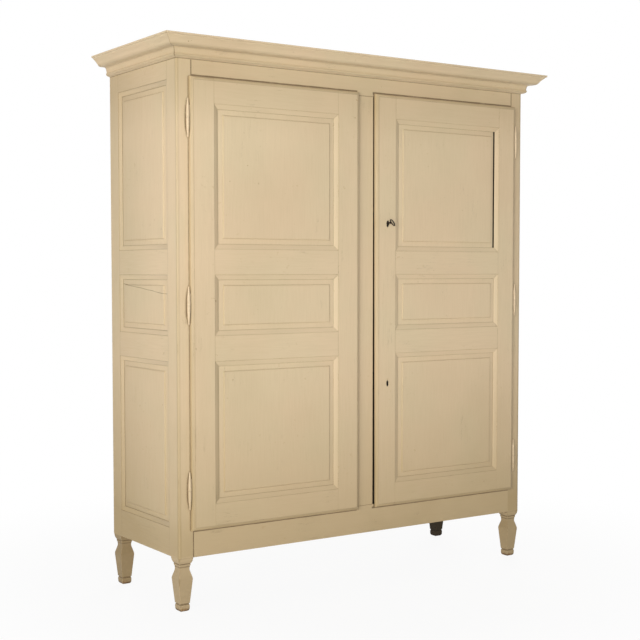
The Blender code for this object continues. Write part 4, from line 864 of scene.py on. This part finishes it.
def dark_iron(name, polish=0.0):
    """Old iron: near black with brown rust in patches, brighter where hands and wear polish it."""
    finish = Finish(name)
    patches = finish.fade(finish.cloud(75.0, 5.0, rough=0.65), 0.46, 0.62)
    colour = finish.mix(patches, IRON_BLACK, IRON_RUST)
    edge = finish.fade(finish.outer_edges(IRON_ARRIS), 0.02, 0.25)
    rubbed = finish.times(edge, finish.fade(patches, 0.7, 0.2), 0.5 + polish)
    colour = finish.mix(rubbed, colour, IRON_POLISHED)
    colour = finish.mix(finish.fade(finish.hollows(0.005), 0.3, 0.9, 0.0, 0.7), colour, IRON_GRIME)
    metallic = finish.fade(patches, 0.0, 1.0, 0.55, 0.15)
    rough = finish.fade(patches, 0.0, 1.0, 0.50 - 0.1 * polish, 0.80)
    pits = finish.times(finish.cloud(700.0, 3.0), 0.00010)
    height = finish.sum(pits, finish.times(patches, 0.00008))
    finish.shader.inputs["Specular IOR Level"].default_value = IRON_GLOSS
    finish.lay(colour, rough, height, IRON_ROUNDING, metallic)
    return finish.material


lock_iron = dark_iron("lock_iron")
key_iron = dark_iron("key_iron")
dress(["upper_lock_case", "lower_lock_case", "upper_lock_bolt", "lower_lock_bolt"], lock_iron)
dress(["key"], key_iron)

SCREW_RADIUS = 0.0036
SCREW_RISE = 0.0011
SCREW_SLOT = 0.0009
SCREW_SLOT_DEPTH = 0.0006
SCREW_SLOT_SLOPE = 0.00012
SCREW_SUNK = 0.0004
SCREW_INSET = 0.008
FIRST_TURN, NEXT_TURN = 0.7, 1.9


def screw_heads(name, places, face_y, material, body):
    """Slotted round heads that stand on a face looking backwards, each slot turned its own way."""
    mesh = bmesh.new()
    for number, (place_x, place_z) in enumerate(places):
        head = bmesh.new()
        bmesh.ops.create_uvsphere(head, u_segments=24, v_segments=12, radius=SCREW_RADIUS)
        geometry = head.verts[:] + head.edges[:] + head.faces[:]
        bmesh.ops.bisect_plane(
            head, geom=geometry, plane_co=(0, 0, 0), plane_no=(0, 0, 1), clear_inner=True
        )
        rim = [edge for edge in head.edges if edge.is_boundary]
        bmesh.ops.contextual_create(head, geom=rim)
        bmesh.ops.scale(head, vec=(1.0, 1.0, SCREW_RISE / SCREW_RADIUS), verts=head.verts)
        for offset in (-SCREW_SLOT / 2, SCREW_SLOT / 2):
            for step in (0.0, math.copysign(SCREW_SLOT_SLOPE, offset)):
                geometry = head.verts[:] + head.edges[:] + head.faces[:]
                cut = (offset + step, 0, 0)
                bmesh.ops.bisect_plane(head, geom=geometry, plane_co=cut, plane_no=(1, 0, 0))
        floor = SCREW_RISE - SCREW_SLOT_DEPTH
        for vert in head.verts:
            if abs(vert.co.x) < SCREW_SLOT / 2 + 0.00002 and vert.co.z > floor:
                vert.co.z = floor
        turn = Matrix.Rotation(FIRST_TURN + NEXT_TURN * number, 4, "Z")
        stand = Matrix.Rotation(-math.pi / 2, 4, "X")
        put = Matrix.Translation((place_x, face_y - SCREW_SUNK, place_z))
        bmesh.ops.transform(head, matrix=put @ stand @ turn, verts=head.verts)
        data = bpy.data.meshes.new(f"{name}_one")
        head.to_mesh(data)
        head.free()
        mesh.from_mesh(data)
        bpy.data.meshes.remove(data)
    bmesh.ops.recalc_face_normals(mesh, faces=mesh.faces)
    data = bpy.data.meshes.new(name)
    mesh.to_mesh(data)
    mesh.free()
    data.materials.append(material)
    screws = bpy.data.objects.new(name, data)
    bpy.context.scene.collection.objects.link(screws)
    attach(screws, body)


screw_iron = dark_iron("screw_iron", 0.25)
for level in ("upper", "lower"):
    low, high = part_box(f"{level}_lock_case")
    corners = [
        (across, up)
        for across in (low.x + SCREW_INSET, high.x - SCREW_INSET)
        for up in (low.z + SCREW_INSET, high.z - SCREW_INSET)
    ]
    screw_heads(f"{level}_lock_screws", corners, high.y, screw_iron, "right_door")


# Sliding bolt
# A flat iron bolt in a guide plate on the back of the left door, pushed up behind the top rail.
# The hand that slides it keeps it a little brighter than the locks.

bolt_iron = dark_iron("bolt_iron", 0.2)
dress(["left_door_bolt_guide", "left_door_bolt"], bolt_iron)


# Boards and rear rails
# Back, floor and top are softwood boards glued edge to edge, left bare, with the tone and the grain
# changing from board to board. The rear rails hold the back at its head and its foot.

NAIL_IRON = (0.035, 0.026, 0.020, 1.0)
NAIL_SUNK = 0.0004
WOOD_GLOSS = 0.28
WOOD_ROUNDING = 0.0008


def bare_wood(name, along, board=None, pale=WOOD_PALE, brown=WOOD_BROWN, nails=None):
    """Planed, unpainted softwood gone brown; board is the axis across boards, their start and width."""
    finish = Finish(name)
    strokes = grain_vector(finish, along)
    tint = finish.cloud(1.7, 3.0)
    if board:
        axis, start, width = board
        place = {"x": finish.x, "y": finish.y}[axis]
        index = finish.maths("FLOOR", finish.maths("DIVIDE", finish.less(place, start), width))
        noise = finish.add("ShaderNodeTexWhiteNoise", {"W": index}, noise_dimensions="1D")
        chance = noise.outputs["Value"]
        shift = finish.add("ShaderNodeCombineXYZ", {0: chance, 1: chance, 2: chance}).outputs[0]
        strokes = finish.vector("ADD", strokes, shift)
        tint = finish.times(finish.sum(tint, chance), 0.5)
    colour, height = wood_layers(finish, strokes, pale, brown)
    colour = finish.mix(finish.fade(tint, 0.25, 0.75, 0.0, 0.55), colour, WOOD_UNDER)
    # Grime and painted shade in the corners.
    dirt_and_shade = finish.fade(finish.hollows(0.020), 0.15, 0.85, 0.0, 0.65)
    colour = finish.mix(dirt_and_shade, colour, GRIME_AND_SHADE)
    stains = finish.fade(finish.cloud(5.0, 5.0, rough=0.6), 0.56, 0.70, 0.0, 0.35)
    colour = finish.mix(stains, colour, GRIME_AND_SHADE)
    if nails:
        heads, halo = nails(finish)
        colour = finish.mix(finish.times(halo, 0.5), colour, GRIME_AND_SHADE)
        colour = finish.mix(heads, colour, NAIL_IRON)
        height = finish.less(height, finish.times(heads, NAIL_SUNK))
    rough = finish.fade(tint, 0.2, 0.8, 0.66, 0.82)
    finish.shader.inputs["Specular IOR Level"].default_value = WOOD_GLOSS
    finish.lay(colour, rough, height, WOOD_ROUNDING)
    return finish.material


BACK_LOW, BACK_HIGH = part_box("back_panel")
FLOOR_LOW, FLOOR_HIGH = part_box("floor_panel")
TOP_LOW, TOP_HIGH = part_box("top_panel")
BACK_BOARD_WIDTH = (BACK_HIGH.x - BACK_LOW.x) / 9
FLOOR_BOARD_WIDTH = (FLOOR_HIGH.x - FLOOR_LOW.x) / 10
TOP_BOARD_WIDTH = (TOP_HIGH.y - TOP_LOW.y) / 3
NAIL_ROWS = (BACK_LOW.z + 0.030, 1.120, BACK_HIGH.z - 0.045)
NAIL_INSET = 0.030
NAIL_RADIUS = 0.0030


def back_nails(finish):
    """Two nails in the end of each back board, two at its middle, and the rust that bled from them."""
    across = finish.maths("DIVIDE", finish.less(finish.x, BACK_LOW.x), BACK_BOARD_WIDTH)
    across = finish.times(finish.maths("FRACT", across), BACK_BOARD_WIDTH)
    spacing = BACK_BOARD_WIDTH - 2 * NAIL_INSET
    column = finish.maths("PINGPONG", finish.less(across, NAIL_INSET), spacing)
    distances = []
    for row in NAIL_ROWS:
        rise = finish.less(finish.z, row)
        apart = finish.add("ShaderNodeCombineXYZ", {0: column, 1: rise, 2: 0.0}).outputs[0]
        length = finish.add("ShaderNodeVectorMath", {0: apart}, operation="LENGTH")
        distances.append(length.outputs["Value"])
    nearest = finish.least(*distances)
    ragged = finish.times(finish.cloud(90.0, 3.0), 0.012)
    halo = finish.fade(finish.sum(nearest, ragged), 0.005, 0.015, 1.0, 0.0)
    return finish.fade(nearest, NAIL_RADIUS, NAIL_RADIUS + 0.0004, 1.0, 0.0), halo


back_wood = bare_wood("back_boards", "z", ("x", BACK_LOW.x, BACK_BOARD_WIDTH), nails=back_nails)
floor_wood = bare_wood("floor_boards", "y", ("x", FLOOR_LOW.x, FLOOR_BOARD_WIDTH))
top_wood = bare_wood("top_boards", "x", ("y", TOP_LOW.y, TOP_BOARD_WIDTH))
rear_rail_wood = bare_wood("rear_rails", "x")
dress(["back_panel"], back_wood)
dress(["floor_panel"], floor_wood)
dress(["top_panel"], top_wood)
dress(["rear_top_rail", "rear_bottom_rail"], rear_rail_wood)


# Hat shelf and hanging rail
# A shelf of three boards on a bearer at each side, and under it a round rail that lies in bores in the
# bearers. Bare wood, the rail polished by hangers.

HANGING_RAIL_PALE, HANGING_RAIL_BROWN = (0.36, 0.21, 0.10, 1.0), (0.22, 0.12, 0.055, 1.0)
SHELF_LOW, SHELF_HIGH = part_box("hat_shelf")
SHELF_BOARD_WIDTH = (SHELF_HIGH.y - SHELF_LOW.y) / 3
shelf_wood = bare_wood("shelf_boards", "x", ("y", SHELF_LOW.y, SHELF_BOARD_WIDTH))
bearer_wood = bare_wood("bearers", "y")
rail_wood = bare_wood("hanging_rail_wood", "x", pale=HANGING_RAIL_PALE, brown=HANGING_RAIL_BROWN)
dress(["hat_shelf"], shelf_wood)
dress(["left_shelf_bearer", "right_shelf_bearer"], bearer_wood)
dress(["hanging_rail"], rail_wood)


# Studio
# A pale floor that fades into white, one broad soft lamp from the front left, a weak one low in front,
# and one behind, so that no side is left in the dark.

FLOOR_REACH = 14.0
FLOOR_GREY = (0.80, 0.80, 0.80, 1.0)
WHITE = (1.0, 1.0, 1.0, 1.0)
FADE_START, FADE_END = 0.7, 2.2
WHITE_NEAR = 0.925
SKY_LEVEL = 0.23


def studio_floor():
    mesh = bmesh.new()
    bmesh.ops.create_grid(mesh, x_segments=1, y_segments=1, size=FLOOR_REACH)
    data = bpy.data.meshes.new("floor")
    mesh.to_mesh(data)
    mesh.free()
    floor = bpy.data.objects.new("floor", data)
    bpy.context.scene.collection.objects.link(floor)
    finish = Finish("studio_floor")
    finish.shader.inputs["Base Color"].default_value = FLOOR_GREY
    finish.shader.inputs["Roughness"].default_value = 0.9
    away = finish.add("ShaderNodeVectorMath", {0: finish.place}, operation="LENGTH").outputs["Value"]
    seen = finish.add("ShaderNodeLightPath", {})
    straight = finish.most(seen.outputs["Is Camera Ray"], seen.outputs["Is Glossy Ray"])
    white = finish.add("ShaderNodeEmission", {0: WHITE, 1: 1.0})
    share = finish.times(straight, finish.fade(away, FADE_START, FADE_END, WHITE_NEAR, 1.0))
    layers = {0: share, 1: finish.shader.outputs[0], 2: white.outputs[0]}
    mixed = finish.add("ShaderNodeMixShader", layers)
    finish.tree.links.new(mixed.outputs[0], finish.tree.nodes["Material Output"].inputs["Surface"])
    data.materials.append(finish.material)


studio_floor()


def studio_lamp(name, place, aim, size, power, colour):
    lamp = bpy.data.lights.new(name, "AREA")
    lamp.shape = "RECTANGLE"
    lamp.size, lamp.size_y = size
    lamp.energy = power
    lamp.color = colour
    holder = bpy.data.objects.new(name, lamp)
    bpy.context.scene.collection.objects.link(holder)
    holder.location = place
    holder.rotation_euler = (Vector(aim) - Vector(place)).to_track_quat("-Z", "Y").to_euler()


studio_lamp("left_lamp", (-8.2, -6.9, 2.0), (0.0, 0.0, 1.2), (7.4, 3.6), 925.0, (1.0, 0.99, 0.955))
studio_lamp("low_lamp", (-3.0, -5.4, 0.30), (0.0, 0.0, 1.9), (4.0, 0.5), 66.0, (1.0, 0.96, 0.88))
studio_lamp("back_lamp", (6.4, 6.8, 2.6), (0.0, 0.0, 1.1), (5.0, 3.6), 520.0, (1.0, 0.99, 0.97))


def studio_sky():
    """White where it is seen straight, mirrored or through something, and dim as a light."""
    world = bpy.data.worlds.new("studio_white")
    bpy.context.scene.world = world
    world.use_nodes = True
    sky = world.node_tree
    for node in list(sky.nodes):
        sky.nodes.remove(node)
    path = sky.nodes.new("ShaderNodeLightPath")
    direct = sky.nodes.new("ShaderNodeMath")
    direct.operation = "MAXIMUM"
    seen = sky.nodes.new("ShaderNodeMath")
    seen.operation = "MAXIMUM"
    level = sky.nodes.new("ShaderNodeMapRange")
    level.inputs["To Min"].default_value = SKY_LEVEL
    level.inputs["To Max"].default_value = 1.0
    backdrop = sky.nodes.new("ShaderNodeBackground")
    backdrop.inputs["Color"].default_value = WHITE
    result = sky.nodes.new("ShaderNodeOutputWorld")
    sky.links.new(path.outputs["Is Camera Ray"], direct.inputs[0])
    sky.links.new(path.outputs["Is Glossy Ray"], direct.inputs[1])
    sky.links.new(direct.outputs[0], seen.inputs[0])
    sky.links.new(path.outputs["Is Transmission Ray"], seen.inputs[1])
    sky.links.new(seen.outputs[0], level.inputs["Value"])
    sky.links.new(level.outputs[0], backdrop.inputs["Strength"])
    sky.links.new(backdrop.outputs[0], result.inputs["Surface"])


studio_sky()
bpy.context.scene.view_settings.view_transform = "Standard"
